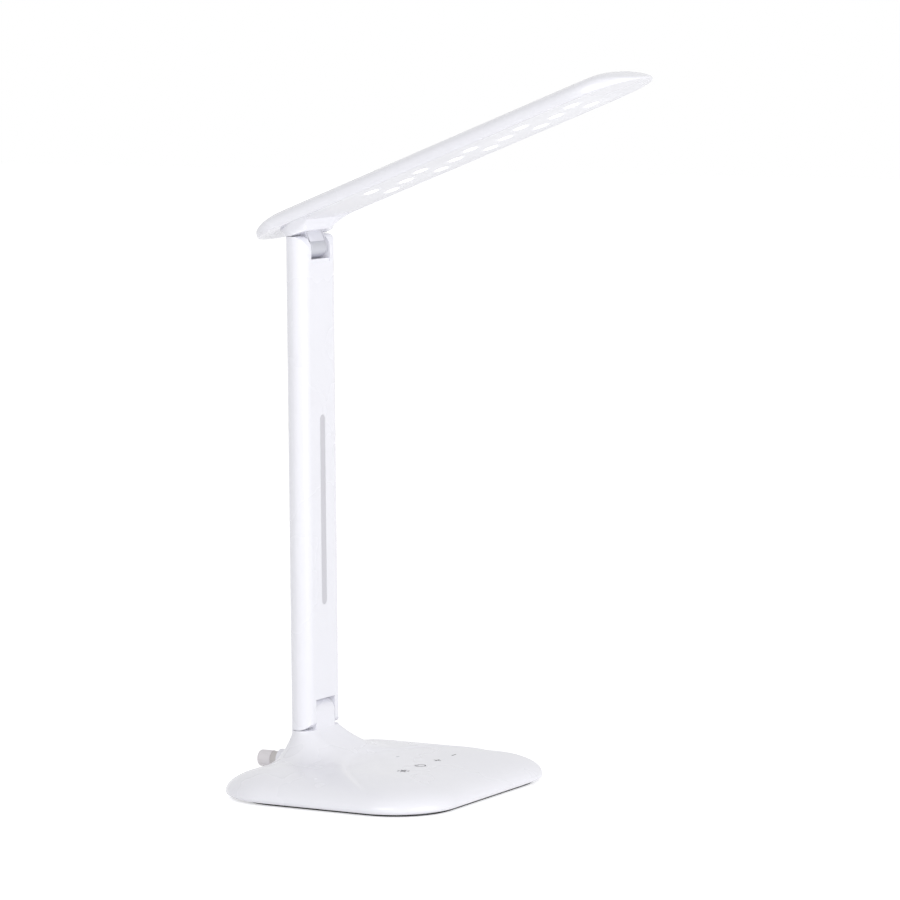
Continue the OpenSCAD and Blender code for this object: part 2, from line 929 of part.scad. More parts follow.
module led_sheet(h, t) {
    difference() {
        translate([0, -(led_board_front + led_board_rear) / 2, under_h + h])
            linear_extrude(t)
                rounded_rect(led_board_w, led_board_front - led_board_rear, 3);
        at_led_screws()
            translate([0, 0, h - 1])
                cylinder(r = screw_r + seat, h = t + 2);
    }
}

module led_board() {
    color("snow")
        head_place()
            led_sheet(board_h, led_board_t);
}

module heat_spreader() {
    color("silver")
        head_place()
            led_sheet(board_h + led_board_t, spreader_t);
}

led_l = 3.5;
led_t = 0.8;

// Light sources: rows of two with a single one midway between rows
module leds() {
    color("lightyellow")
        head_place()
            for (i = [0:led_pairs - 1]) {
                for (sx = [-1, 1])
                    translate([sx * led_half, -led_start - i * led_pitch, under_h + board_h - led_t / 2])
                        cube([led_l, led_l, led_t], center = true);
                if (i < led_pairs - 1)
                    translate([0, -led_start - (i + 0.5) * led_pitch, under_h + board_h - led_t / 2])
                        cube([led_l, led_l, led_t], center = true);
            }
}

module led_screws() {
    color("silver")
        head_place()
            at_led_screws()
                translate([0, 0, board_h - screw_head_t])
                    screw(led_screw_l);
}

module upper_bush() {
    color("gray")
        translate([0, post_y, upper_z])
            hinge_bush(barrel_r);
}

base_shell();
bottom_cover();
foot_pad();
ballast_plate();
cover_screws();
touch_board();
touch_springs();
board_screws();
indicator_pipe();
gland_collar();
cord_gland();
lower_bush();
arm_front_shell();
arm_back_shell();
arm_strip();
arm_lead();
lower_pin();
lower_washers();
lower_nut();
upper_pin();
upper_washers();
upper_nut();
head_housing();
lens();
led_board();
leds();
heat_spreader();
led_screws();
upper_bush();
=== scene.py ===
"""Looks of a folding desk lamp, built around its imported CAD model.

The lamp stands on a weighted base with a flared neck. A flat upright arm carries a long paddle
shaped head whose frosted diffuser shows fourteen spots of light. Front is -Y and up is +Z.
Sizes in the classes are millimetres; meshes are written in metres.
"""

import logging
import math
from dataclasses import dataclass, field
from enum import Enum

import bmesh
import bpy
import numpy as np
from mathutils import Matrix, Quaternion, Vector


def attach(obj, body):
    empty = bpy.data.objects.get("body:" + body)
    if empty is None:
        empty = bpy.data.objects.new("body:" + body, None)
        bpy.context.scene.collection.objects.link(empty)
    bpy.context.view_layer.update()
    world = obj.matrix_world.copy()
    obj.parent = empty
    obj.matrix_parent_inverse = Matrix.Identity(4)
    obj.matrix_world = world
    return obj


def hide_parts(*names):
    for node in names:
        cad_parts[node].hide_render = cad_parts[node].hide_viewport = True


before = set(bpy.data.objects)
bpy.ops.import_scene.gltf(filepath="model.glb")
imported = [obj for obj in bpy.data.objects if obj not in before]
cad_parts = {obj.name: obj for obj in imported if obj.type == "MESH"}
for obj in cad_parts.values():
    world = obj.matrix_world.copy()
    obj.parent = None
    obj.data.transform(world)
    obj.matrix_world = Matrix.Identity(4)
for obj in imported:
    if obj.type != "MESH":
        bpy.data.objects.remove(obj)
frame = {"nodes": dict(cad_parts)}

LOG = logging.getLogger("desk_lamp")
MM = 0.001
Array = np.ndarray
Point = tuple[float, float, float]

# Sizes that several sub-assemblies share, in millimetres and degrees
POST_Y = 66.0
ARM_HALF_W = 25.9
ARM_R = 9.5
UPPER_HINGE = (0.0, POST_Y, 413.5)
TILT = 21.1


# Shape helpers


def smooth(t: Array) -> Array:
    """Smooth step: 3t^2 - 2t^3 of t held between 0 and 1."""
    c = np.clip(t, 0.0, 1.0)
    return c * c * (3.0 - 2.0 * c)


def mix(a: Array, b: Array, t: Array) -> Array:
    """Straight mix of a and b: a + (b - a) t."""
    return a + (b - a) * t


def around(count: int) -> Array:
    """Even angles round a circle, in radians."""
    return np.arange(count) * 2 * math.pi / count


def on_rounded_rect(share: Array, half_w: float, half_d: float, radius: float) -> Array:
    """Points on a rounded rectangle at shares of its length, clockwise from the rear middle.

    The outline is nine runs in order: half the rear side, a quarter arc, a side, an arc, the
    front, an arc, the other side, an arc and the rest of the rear. Each point is worked out on
    the run that its length along the outline falls in.

    Args:
        share: shares of the outline's length, 0 to 1.
        half_w: half of the width along X.
        half_d: half of the depth along Y.
        radius: corner radius.

    Returns:
        An array of points with one row per share.
    """
    a, b, arc = half_w - radius, half_d - radius, math.pi * radius / 2
    runs = np.array([a, arc, 2 * b, arc, 2 * a, arc, 2 * b, arc, a])
    ends = np.cumsum(runs)
    s = np.clip(share, 0, 1) * ends[-1]
    run = np.minimum(np.searchsorted(ends, s, side="right"), len(runs) - 1)
    along = s - (ends - runs)[run]
    turn = along / arc * (math.pi / 2)
    sin, cos = radius * np.sin(turn), radius * np.cos(turn)
    x = np.choose(run, [along, a + sin, half_w + 0 * s, a + cos, a - along, -a - sin,
                        -half_w + 0 * s, -a - cos, along - a])
    y = np.choose(run, [half_d + 0 * s, b + cos, b - along, -b - sin, -half_d + 0 * s, -b - cos,
                        along - b, b + sin, half_d + 0 * s])
    return np.stack([x, y], axis=-1)


def inset_in_rect(p: Array, half_w: float, half_d: float, radius: float) -> Array:
    """How far plan points lie inside a rounded rectangle's edge, negative outside it."""
    q = np.abs(p) - np.array([half_w - radius, half_d - radius])
    return radius - np.linalg.norm(np.maximum(q, 0), axis=-1) - np.minimum(q.max(axis=-1), 0)


def lift(plan: Array, z: Array) -> Array:
    """Plan points with their heights as a third column."""
    return np.concatenate([plan, np.broadcast_to(z, plan.shape[:-1])[..., None]], axis=-1)


def at_x(side: Array, x: float) -> Array:
    """Side view points (y, z) placed at one x."""
    return np.concatenate([np.full((len(side), 1), x), side], axis=-1)


def turned_x(points: Array, degrees: float) -> Array:
    """Points turned about the X axis through the origin."""
    c, s = math.cos(math.radians(degrees)), math.sin(math.radians(degrees))
    return points @ np.array([[1, 0, 0], [0, c, s], [0, -s, c]])


class Ends(Enum):
    """How the first and the last row of a grid are closed."""

    CAPPED = "each end row is closed by a fan to its middle"
    FLAT = "each end row is closed by one flat face"
    JOINED = "the last row joins the first, as on a ring"


def faces_of(n: int, m: int, ends: Ends, base: int = 0) -> list[list[int]]:
    """Faces over n closed loops of m points, numbered row by row.

    Corner (i, j) joins (i, j + 1), (i + 1, j + 1) and (i + 1, j) in one quad, with j taken round
    the loop. The fans of capped ends meet at the points n m and n m + 1.

    Args:
        n: number of loops.
        m: points on each loop.
        ends: how the first and the last loop are closed.
        base: number of the first point.

    Returns:
        Lists of point numbers.
    """
    i, j = np.meshgrid(np.arange(n if ends is Ends.JOINED else n - 1), np.arange(m), indexing="ij")
    k, up = (j + 1) % m, (i + 1) % n
    quads = np.stack([i * m + j, i * m + k, up * m + k, up * m + j], axis=-1).reshape(-1, 4)
    faces = (quads + base).tolist()
    c, last = np.arange(m), (n - 1) * m
    if ends is Ends.FLAT:
        faces += [(c + base).tolist(), (c + last + base).tolist()]
    elif ends is Ends.CAPPED:
        d = (c + 1) % m
        faces += (np.stack([np.full(m, n * m), d, c], axis=-1) + base).tolist()
        faces += (np.stack([np.full(m, n * m + 1), last + c, last + d], axis=-1) + base).tolist()
    return faces


def skin(name: str, rows: Array, ends: Ends = Ends.CAPPED,
         sharp: float = 40.0) -> bpy.types.Object:
    """Makes a closed surface of a grid of points whose rows are closed loops.

    Args:
        name: name of the piece.
        rows: grid of points in millimetres, rows by columns by 3.
        ends: how the first and the last row are closed.
        sharp: edges that bend more than this many degrees stay sharp in the shading.

    Returns:
        The new object, at the origin.
    """
    points = rows.reshape(-1, 3)
    if ends is Ends.CAPPED:
        points = np.concatenate([points, rows[[0, -1]].mean(axis=1)])
    return solid(name, points, faces_of(*rows.shape[:2], ends), sharp)


def solid(name: str, points: Array, faces: list, sharp: float = 40.0) -> bpy.types.Object:
    """Puts points and faces into a piece, merges doubles and turns its normals outwards.

    Args:
        name: name of the piece.
        points: points in millimetres.
        faces: lists of point numbers.
        sharp: edges that bend more than this many degrees stay sharp in the shading.

    Returns:
        The new object, at the origin.
    """
    mesh = bpy.data.meshes.new(name)
    mesh.from_pydata((points * MM).tolist(), [], faces)
    work = bmesh.new()
    work.from_mesh(mesh)
    bmesh.ops.remove_doubles(work, verts=work.verts, dist=2e-7)
    bmesh.ops.dissolve_degenerate(work, edges=work.edges, dist=1e-8)
    bmesh.ops.recalc_face_normals(work, faces=work.faces)
    work.to_mesh(mesh)
    work.free()
    mesh.polygons.foreach_set("use_smooth", np.ones(len(mesh.polygons), bool))
    mesh.set_sharp_from_angle(angle=math.radians(sharp))
    piece = bpy.data.objects.new(name, mesh)
    bpy.context.scene.collection.objects.link(piece)
    return piece


# Finishes


def linear(colour: str) -> tuple[float, float, float, float]:
    """Turns an sRGB hex colour such as #F4F3F8 into linear RGBA.

    Args:
        colour: the hex colour.

    Returns:
        Linear red, green, blue and an alpha of 1.
    """
    v = np.array([int(colour[i:i + 2], 16) for i in (1, 3, 5)]) / 255
    v = np.where(v <= 0.04045, v / 12.92, ((v + 0.055) / 1.055) ** 2.4)
    return (*(float(x) for x in v), 1.0)


def add(tree: bpy.types.NodeTree, kind: str, settings: dict | None = None,
        inputs: dict | None = None) -> bpy.types.Node:
    """Adds a node with its settings and inputs.

    Args:
        tree: the node tree.
        kind: the node's type.
        settings: its properties by name.
        inputs: its inputs by name or number; a socket is linked, any other value is set.

    Returns:
        The new node.
    """
    node = tree.nodes.new(kind)
    for key, value in (settings or {}).items():
        setattr(node, key, value)
    for key, value in (inputs or {}).items():
        if isinstance(value, bpy.types.NodeSocket):
            tree.links.new(value, node.inputs[key])
        else:
            node.inputs[key].default_value = value
    return node


class Grain(Enum):
    """The fine pattern that the making of a surface leaves on it."""

    MOULDED = "slow ripples of a polished mould"
    SPARKED = "fine pits of a spark eroded mould"
    TURNED = "rings of a turning tool round the X axis"
    ROLLED = "long streaks of rolling along the Y axis"


@dataclass(frozen=True)
class Finish:
    """A real material with the way its surface was made.

    Attributes:
        name: the material's name.
        colour: its sRGB colour.
        other: the sRGB colour that its slow variation leads to.
        roughness: middle roughness.
        grain: kind of fine pattern.
        grain_mm: size of the pattern.
        depth_mm: height of the pattern.
        metallic: 1 for a bare metal.
        ior: index of refraction, left at Blender's own value for metals.
        coat: weight of a clear coat.
        coat_roughness: roughness of the clear coat.
        transmission: above 0 for a clear part.
        spread: half width of the roughness variation.
        drift_mm: size of the slow variation.
        streak: how many times longer a rolling streak is than it is wide.
    """

    name: str
    colour: str
    other: str
    roughness: float
    grain: Grain = Grain.MOULDED
    grain_mm: float = 4.0
    depth_mm: float = 0.002
    metallic: float = 0.0
    ior: float = 1.5
    coat: float = 0.0
    coat_roughness: float = 0.08
    transmission: float = 0.0
    spread: float = 0.04
    drift_mm: float = 1000 / 14
    streak: float = 100 / 3

    def stretch(self) -> Point:
        """Scale of the pattern along X, Y and Z, in repeats per metre."""
        per = 1000.0 / self.grain_mm
        return (per, per / self.streak if self.grain is Grain.ROLLED else per, per)

    def material(self) -> bpy.types.Material:
        """Builds the node material: a slow colour drift, uneven gloss and a fine relief.

        Returns:
            The material, made once for each name.
        """
        made = bpy.data.materials.get(self.name)
        if made:
            return made
        made = bpy.data.materials.new(self.name)
        made.use_nodes = True
        tree = made.node_tree
        tree.nodes.clear()
        place = add(tree, "ShaderNodeTexCoord").outputs["Object"]
        fine = add(tree, "ShaderNodeMapping",
                   inputs={"Vector": place, "Scale": self.stretch()}).outputs[0]
        if self.grain is Grain.TURNED:
            height = add(tree, "ShaderNodeTexWave",
                         {"wave_type": "RINGS", "rings_direction": "X", "wave_profile": "SIN"},
                         {"Vector": fine, "Scale": 1.0, "Distortion": 0.6}).outputs["Fac"]
        elif self.grain is Grain.SPARKED:
            height = add(tree, "ShaderNodeTexVoronoi", {"feature": "SMOOTH_F1"},
                         {"Vector": fine, "Scale": 1.0}).outputs["Distance"]
        else:
            height = add(tree, "ShaderNodeTexNoise",
                         inputs={"Vector": fine, "Scale": 1.0, "Detail": 2.0}).outputs["Fac"]
        drift = add(tree, "ShaderNodeTexNoise",
                    inputs={"Vector": place, "Scale": 1000 / self.drift_mm,
                            "Detail": 3.0}).outputs["Fac"]
        tone = add(tree, "ShaderNodeMix", {"data_type": "RGBA"},
                   {"Factor": drift, 6: linear(self.colour), 7: linear(self.other)})
        gloss = add(tree, "ShaderNodeMapRange",
                    inputs={"Value": drift, "From Min": 0.3, "From Max": 0.7,
                            "To Min": self.roughness - self.spread,
                            "To Max": self.roughness + self.spread})
        relief = add(tree, "ShaderNodeBump",
                     inputs={"Height": height, "Strength": 1.0, "Distance": self.depth_mm * MM})
        inputs = {"Base Color": tone.outputs[2], "Roughness": gloss.outputs[0],
                  "Normal": relief.outputs[0], "Metallic": self.metallic,
                  "Coat Weight": self.coat, "Coat Roughness": self.coat_roughness,
                  "Transmission Weight": self.transmission}
        if not self.metallic:
            inputs["IOR"] = self.ior
        shader = add(tree, "ShaderNodeBsdfPrincipled", inputs=inputs)
        self.finish(tree, place, shader)
        add(tree, "ShaderNodeOutputMaterial", inputs={"Surface": shader.outputs[0]})
        return made

    def finish(self, tree: bpy.types.NodeTree, place: bpy.types.NodeSocket,
               shader: bpy.types.Node) -> None:
        """Leaves the shader as it is; a special finish adds its own nodes here."""


@dataclass(frozen=True)
class Sources:
    """The light sources under the head: pairs at a pitch, with a single one between two pairs."""

    start: float = 76.0
    pitch: float = 46.0
    half: float = 15.5
    rows: int = 5

    def spots(self) -> list[tuple[float, float]]:
        """Lists the places of all sources.

        Returns:
            For each, how far it lies across the head and how far ahead of the hinge.
        """
        ahead = self.start + self.pitch * np.arange(self.rows)
        pairs = [(x, v) for v in ahead for x in (-self.half, self.half)]
        return pairs + [(0.0, v + self.pitch / 2) for v in ahead[:-1]]


@dataclass(frozen=True)
class Diffuser(Finish):
    """Frosted acrylic lit from behind: a low glow that rises in a soft halo round each source."""

    sources: Sources = Sources()
    colour_lit: str = "#FCFCFF"
    base_glow: float = 0.11
    halo: float = 0.22
    halo_mm: float = 11.0

    def finish(self, tree: bpy.types.NodeTree, place: bpy.types.NodeSocket,
               shader: bpy.types.Node) -> None:
        """Adds the glow.

        A shift to the hinge and a turn by the tilt give the head's own coordinates. They are
        counted in pitches, with x taken positive and y counted ahead from two pitches behind
        the first row, so that all are positive. Rounded to whole steps, or to half steps for
        the single sources, and held to the rows that exist, they give the nearest source.

        Args:
            tree: the material's node tree.
            place: the piece's own coordinates.
            shader: the principled shader.
        """
        rows, behind = self.sources.rows, 2
        per = 1 / (self.sources.pitch * MM)
        first = self.sources.start / self.sources.pitch
        shift = add(tree, "ShaderNodeVectorMath", {"operation": "SUBTRACT"},
                    {0: place, 1: tuple(v * MM for v in UPPER_HINGE)})
        at = add(tree, "ShaderNodeVectorRotate", {"rotation_type": "X_AXIS"},
                 {"Vector": shift.outputs[0], "Angle": math.radians(TILT)}).outputs[0]
        for kind, value in (("MULTIPLY", (per, -per, 0)), ("ADD", (0, behind - first, 0)),
                            ("ABSOLUTE", (0, 0, 0))):
            at = add(tree, "ShaderNodeVectorMath", {"operation": kind},
                     {0: at, 1: value}).outputs[0]
        distances = []
        for phase, across, last in ((0.0, self.sources.half / self.sources.pitch, rows - 1),
                                    (0.5, 0.0, rows - 2)):
            near = at
            for kind, value in (("ADD", (0, 0.5 - phase, 0)), ("FLOOR", (0, 0, 0)),
                                ("MAXIMUM", (0, behind, 0)), ("MINIMUM", (0, behind + last, 0)),
                                ("ADD", (across, phase, 0))):
                near = add(tree, "ShaderNodeVectorMath", {"operation": kind},
                           {0: near, 1: value}).outputs[0]
            distances.append(add(tree, "ShaderNodeVectorMath", {"operation": "DISTANCE"},
                                 {0: at, 1: near}).outputs["Value"])
        nearest = add(tree, "ShaderNodeMath", {"operation": "MINIMUM"}, dict(enumerate(distances)))
        glow = add(tree, "ShaderNodeMapRange", {"interpolation_type": "SMOOTHERSTEP"},
                   {"Value": nearest.outputs[0], "From Min": 0.0,
                    "From Max": self.halo_mm / self.sources.pitch,
                    "To Min": self.base_glow + self.halo, "To Max": self.base_glow})
        tree.links.new(glow.outputs[0], shader.inputs["Emission Strength"])
        shader.inputs["Emission Color"].default_value = linear(self.colour_lit)


@dataclass(frozen=True)
class Glow(Finish):
    """A phosphor or a light window, with an even light of its own."""

    colour_lit: str = "#FFFEFA"
    strength: float = 1.0

    def finish(self, tree: bpy.types.NodeTree, place: bpy.types.NodeSocket,
               shader: bpy.types.Node) -> None:
        """Sets an even emission on the shader's own sockets."""
        shader.inputs["Emission Color"].default_value = linear(self.colour_lit)
        shader.inputs["Emission Strength"].default_value = self.strength


# Polished moulded ABS: bright soft reflections with a barely visible ripple
WHITE_ABS = Finish("gloss_white_abs", "#F1F1F7", "#EFEFF5", 0.27, depth_mm=0.003, coat=0.1)
# Injection moulded ABS of the saddle in the slot, with painted shade: a shade greyer than the white
# housing, so the slot reads as deep
SHADED_SADDLE_ABS = Finish("satin_saddle_abs_painted_shade", "#DCDCE4", "#D8D8E0", 0.36, depth_mm=0.003)
# Moulded ABS with a spark eroded texture, as on undersides: matt and even
GREY_ABS = Finish("textured_grey_abs", "#C9C8CD", "#C2C1C7", 0.55, Grain.SPARKED, 1.2, 0.02)
# Silicone rubber sheet: black, dull, with a faint grain
PAD_RUBBER = Finish("black_silicone_rubber", "#161617", "#1D1D1F", 0.62, Grain.SPARKED, 1.0, 0.03)
# Rolled steel plate, zinc plated: cool grey with rolling streaks
ZINC_PLATE = Finish("rolled_zinc_plated_steel", "#A9ADB0", "#9A9EA3", 0.38,
                    Grain.ROLLED, 1.5, 0.004, metallic=1.0)
# Small zinc plated screws: bright with fine turning marks
ZINC_SCREW = Finish("zinc_plated_screw_steel", "#B8BBBF", "#A7ABB0", 0.30,
                    Grain.TURNED, 0.4, 0.006, metallic=1.0)
# Glass fibre board under green solder mask: satin, with a woven unevenness
GREEN_BOARD = Finish("green_solder_mask_board", "#1E5B3A", "#174B30", 0.35,
                     Grain.SPARKED, 0.8, 0.01)
# Glass fibre board under white solder mask, which throws light back into the head
WHITE_BOARD = Finish("white_solder_mask_board", "#ECECEA", "#E3E3E0", 0.42,
                     Grain.SPARKED, 0.8, 0.01)
# Nickel plated spring steel: bright
SPRING_STEEL = Finish("nickel_plated_spring_steel", "#BDB9AF", "#ABA79C", 0.25,
                      Grain.TURNED, 0.5, 0.005, metallic=1.0)
# Clear polycarbonate light pipe: milky end face
CLEAR_PIPE = Finish("moulded_polycarbonate", "#DDDDE2", "#D6D6DC", 0.30, depth_mm=0.001,
                    ior=1.585, transmission=0.4)
# Polished end of the indicator's light pipe, unlit: a small grey dot on the panel
PIPE_END = Finish("polished_pipe_end", "#B9B9C4", "#B2B2BE", 0.18, depth_mm=0.001, ior=1.585)
# Dyed thermoplastic elastomer: a shade darker than the gland, and dull
COLLAR_TPE = Finish("grey_elastomer_collar", "#CDC9C8", "#C6C2C1", 0.50, Grain.SPARKED, 0.9, 0.02)
# Moulded warm grey thermoplastic elastomer: dull with a soft highlight
GLAND_TPE = Finish("warm_grey_elastomer", "#EAE6E9", "#E4E0E3", 0.42, Grain.SPARKED, 1.1, 0.012)
# Sintered bronze: brown gold with open pores
BRONZE = Finish("sintered_bronze", "#B08D57", "#9B7A48", 0.42,
                Grain.SPARKED, 0.6, 0.015, metallic=1.0)
# Light grey ABS inlay with a satin mould finish
STRIP_ABS = Finish("satin_grey_inlay_abs", "#D0CFD5", "#CCCBD2", 0.36, Grain.MOULDED, 2.5, 0.003)
# PVC jacket of the inner lead: soft sheen
LEAD_PVC = Finish("grey_pvc_jacket", "#4A4A4D", "#414144", 0.48, Grain.MOULDED, 1.5, 0.01)
# Ground steel pins: fine rings
PIN_STEEL = Finish("ground_pin_steel", "#9B9DA1", "#8C8E93", 0.28,
                   Grain.TURNED, 0.3, 0.003, metallic=1.0)
# Bead blasted nickel plated barrel: an even pale grey that mirrors nothing sharply
BARREL_STEEL = Finish("blasted_nickel_plated_steel", "#CFD0D6", "#C8C9D0", 0.55,
                      Grain.SPARKED, 0.5, 0.004, metallic=1.0)
# Bare rolled aluminium sheet behind the light sources
BARE_ALUMINIUM = Finish("rolled_aluminium_sheet", "#C9CBCE", "#BCBEC2", 0.34,
                        Grain.ROLLED, 1.2, 0.004, metallic=1.0)
# Frosted acrylic sheet: dull skin, glowing from the sources behind it
FROSTED_LENS = Diffuser("frosted_acrylic", "#EAEAEE", "#E7E7EB", 0.46,
                        Grain.SPARKED, 0.9, 0.006, ior=1.49)
# The bright windows in the frosting over each source
LIGHT_WINDOW = Glow("clear_acrylic_window", "#FFFFFF", "#FDFDFB", 0.20, depth_mm=0.001,
                    ior=1.49, strength=1.1)
# Phosphor of the surface mounted sources
PHOSPHOR = Glow("led_phosphor", "#FFF3C4", "#FFF0B8", 0.50, Grain.SPARKED, 0.5, 0.01,
                strength=0.8)
# Screen printed grey ink of the touch symbols: thin and matt
SYMBOL_INK = Finish("screen_printed_grey_ink", "#46464E", "#424249", 0.58,
                    Grain.SPARKED, 0.6, 0.001)


def dress(piece: bpy.types.Object, finish: Finish) -> None:
    """Gives a piece one finish, whatever its faces had before.

    Args:
        piece: the piece.
        finish: its material.
    """
    piece.data.materials.clear()
    piece.data.materials.append(finish.material())
    piece.data.polygons.foreach_set("material_index", np.zeros(len(piece.data.polygons), np.int32))


def fit(piece: bpy.types.Object, finish: Finish, body: str, slot: str, *nodes: str) -> None:
    """Dresses a new piece, hangs it on its body and hides the CAD nodes that it replaces.

    Args:
        piece: the new piece.
        finish: its material.
        body: the CAD body that carries it.
        slot: the record's slot of the piece; not used.
        nodes: the CAD nodes that it replaces.
    """
    dress(piece, finish)
    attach(piece, body)
    if nodes:
        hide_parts(*nodes)
    LOG.info("%s on %s: %d faces", piece.name, body, len(piece.data.polygons))


# Hinge parts


@dataclass
class Tongue:
    """A tongue that fills a clevis: a round nose about the hinge axis and a straight leg."""

    width: float = 26.8
    radius: float = ARM_R
    bore: float = 4.0
    edge: float = 0.5

    def build(self, name: str, centre: Point, leg: float) -> bpy.types.Object:
        """Lofts the tongue between its two faces and back through its bore.

        A side profile is a half circle joined to two straight lines of length leg. At an edge
        angle t the profile shrinks by edge (1 - cos t) while the face moves out by edge sin t.

        Args:
            name: name of the piece.
            centre: a point on the hinge axis.
            leg: length of the leg below the axis.

        Returns:
            The tongue.
        """
        arc, low = np.linspace(0, math.pi, 49), -leg / self.radius
        unit = np.concatenate([np.stack([np.cos(arc), np.sin(arc)], -1),
                               np.linspace((-1, 0), (-1, low), 13)[1:],
                               np.linspace((-1, low), (1, low), 17)[1:-1],
                               np.linspace((1, low), (1, 0), 13)[:-1]])
        angle = np.unwrap(np.arctan2(unit[:, 1], unit[:, 0]))
        hole = np.stack([np.cos(angle), np.sin(angle)], -1) * self.bore
        t, half = np.linspace(0, math.pi / 2, 7), self.width / 2
        size = self.radius - self.edge * (1 - np.cos(t))
        out = half - self.edge + self.edge * np.sin(t)
        walls = zip(np.concatenate([size[::-1], size]), np.concatenate([-out[::-1], out]))
        rows = [at_x(hole, -half), *(at_x(unit * r, x) for r, x in walls), at_x(hole, half)]
        return skin(name, np.stack(rows) + np.array(centre), Ends.JOINED)


@dataclass
class Saddle:
    """The knuckle's leg over the upper hinge: a block that straddles a barrel, between plates."""

    half_w: float = 13.4
    block_half_w: float = 10.6
    plate_in: float = 11.5
    plate_out: float = 12.6
    depth: float = 8.0
    plate_r: float = 8.0
    leg: float = 16.0
    lip: float = 2.4
    barrel_r: float = 8.2
    chamfer: float = 0.3
    groove_r: float = 6.2
    bore: float = 2.55
    edge: float = 0.35
    floor: float = 11.1
    cradle_half_w: float = 13.65
    cradle_r: float = 8.5
    cradle_top: float = 8.4
    cradle_depth: float = 9.0

    def block(self, centre: Point) -> bpy.types.Object:
        """Draws out the block: a rectangle less the barrel's circle, down to the lip.

        Args:
            centre: a point on the hinge axis.

        Returns:
            The block, leaning with the head.
        """
        start = math.asin(self.lip / self.barrel_r)
        arc = np.linspace(start, math.pi - start, 33)
        hollow = np.stack([np.cos(arc), np.sin(arc)], -1) * self.barrel_r
        d, lip, leg = self.depth, self.lip, self.leg
        outline = np.concatenate([hollow[::-1], np.linspace((d, lip), (d, leg), 14),
                                  np.linspace((d, leg), (-d, leg), 17)[1:-1],
                                  np.linspace((-d, leg), (-d, lip), 14)])
        return self.drawn("upper_saddle", [outline], [(-self.block_half_w, self.block_half_w)],
                          centre, -TILT)

    def plates(self, centre: Point) -> bpy.types.Object:
        """Draws out the two thin plates: a half circle about the axis and a straight leg.

        Args:
            centre: a point on the hinge axis.

        Returns:
            Both plates, leaning with the head.
        """
        arc = np.linspace(math.pi, 2 * math.pi, 41)
        r, leg = self.plate_r, self.leg
        outline = np.concatenate([np.stack([np.cos(arc), np.sin(arc)], -1) * r,
                                  np.linspace((r, 0), (r, leg), 12)[1:],
                                  np.linspace((r, leg), (-r, leg), 17)[1:-1],
                                  np.linspace((-r, leg), (-r, 0), 12)[:-1]])
        spans = [(-self.plate_out, -self.plate_in), (self.plate_in, self.plate_out)]
        return self.drawn("upper_plates", [outline, outline], spans, centre, -TILT)

    def cradle(self, centre: Point) -> bpy.types.Object:
        """Draws out the ledge at the slot's floor, hollowed by a circle about the axis.

        Args:
            centre: a point on the hinge axis.

        Returns:
            The ledge.
        """
        start = math.asin(self.cradle_top / self.cradle_r)
        arc = np.linspace(math.pi + start, 2 * math.pi - start, 33)
        d, top, low = self.cradle_depth, -self.cradle_top, -self.floor
        outline = np.concatenate([np.stack([np.cos(arc), np.sin(arc)], -1) * self.cradle_r,
                                  np.linspace((d, top), (d, low), 5),
                                  np.linspace((d, low), (-d, low), 17)[1:-1],
                                  np.linspace((-d, low), (-d, top), 5)])
        return self.drawn("upper_cradle", [outline], [(-self.cradle_half_w, self.cradle_half_w)],
                          centre)

    def drawn(self, name: str, outlines: list[Array], spans: list[tuple[float, float]],
              centre: Point, turn: float = 0.0) -> bpy.types.Object:
        """Draws closed Y-Z outlines out along X, each between two flat faces with soft rims.

        At a rim angle t the outline moves in along its normals by edge (1 - cos t) while the
        face moves out by edge sin t.

        Args:
            name: name of the piece.
            outlines: closed outlines about the hinge axis.
            spans: where each begins and ends along X.
            centre: a point on the hinge axis.
            turn: turn about the hinge axis in degrees.

        Returns:
            The piece.
        """
        points, faces, base = [], [], 0
        t = np.linspace(0, math.pi / 2, 5)
        draw, out = self.edge * (1 - np.cos(t)), self.edge * (1 - np.sin(t))
        for outline, (left, right) in zip(outlines, spans):
            after = np.roll(outline, -1, 0)
            run = after - np.roll(outline, 1, 0)
            inward = np.stack([-run[:, 1], run[:, 0]], -1) / np.linalg.norm(run, axis=1)[:, None]
            area = outline[:, 0] @ after[:, 1] - outline[:, 1] @ after[:, 0]
            inward *= math.copysign(1.0, area)
            rows = [at_x(outline + inward * d, left + o) for d, o in zip(draw[::-1], out[::-1])]
            rows += [at_x(outline + inward * d, right - o) for d, o in zip(draw, out)]
            points += rows
            faces += faces_of(len(rows), len(outline), Ends.FLAT, base)
            base += len(rows) * len(outline)
        return solid(name, turned_x(np.concatenate(points), turn) + np.array(centre), faces)

    def barrel(self, centre: Point) -> bpy.types.Object:
        """Turns the barrel about the hinge axis, grooved on both sides for the plates.

        Args:
            centre: a point on the hinge axis.

        Returns:
            The barrel.
        """
        half = [(0.0, self.barrel_r), (self.block_half_w - self.chamfer, self.barrel_r),
                (self.block_half_w, self.barrel_r - self.chamfer),
                (self.block_half_w, self.groove_r),
                (self.half_w, self.groove_r), (self.half_w, self.bore)]
        profile = np.array([(-x, r) for x, r in half[:0:-1]] + half)
        a, x, r = around(96), profile[:, :1], profile[:, 1:]
        rows = np.stack([x + 0 * a, r * np.cos(a), r * np.sin(a)], -1)
        return skin("hinge_barrel", rows + np.array(centre), Ends.JOINED)


# Base


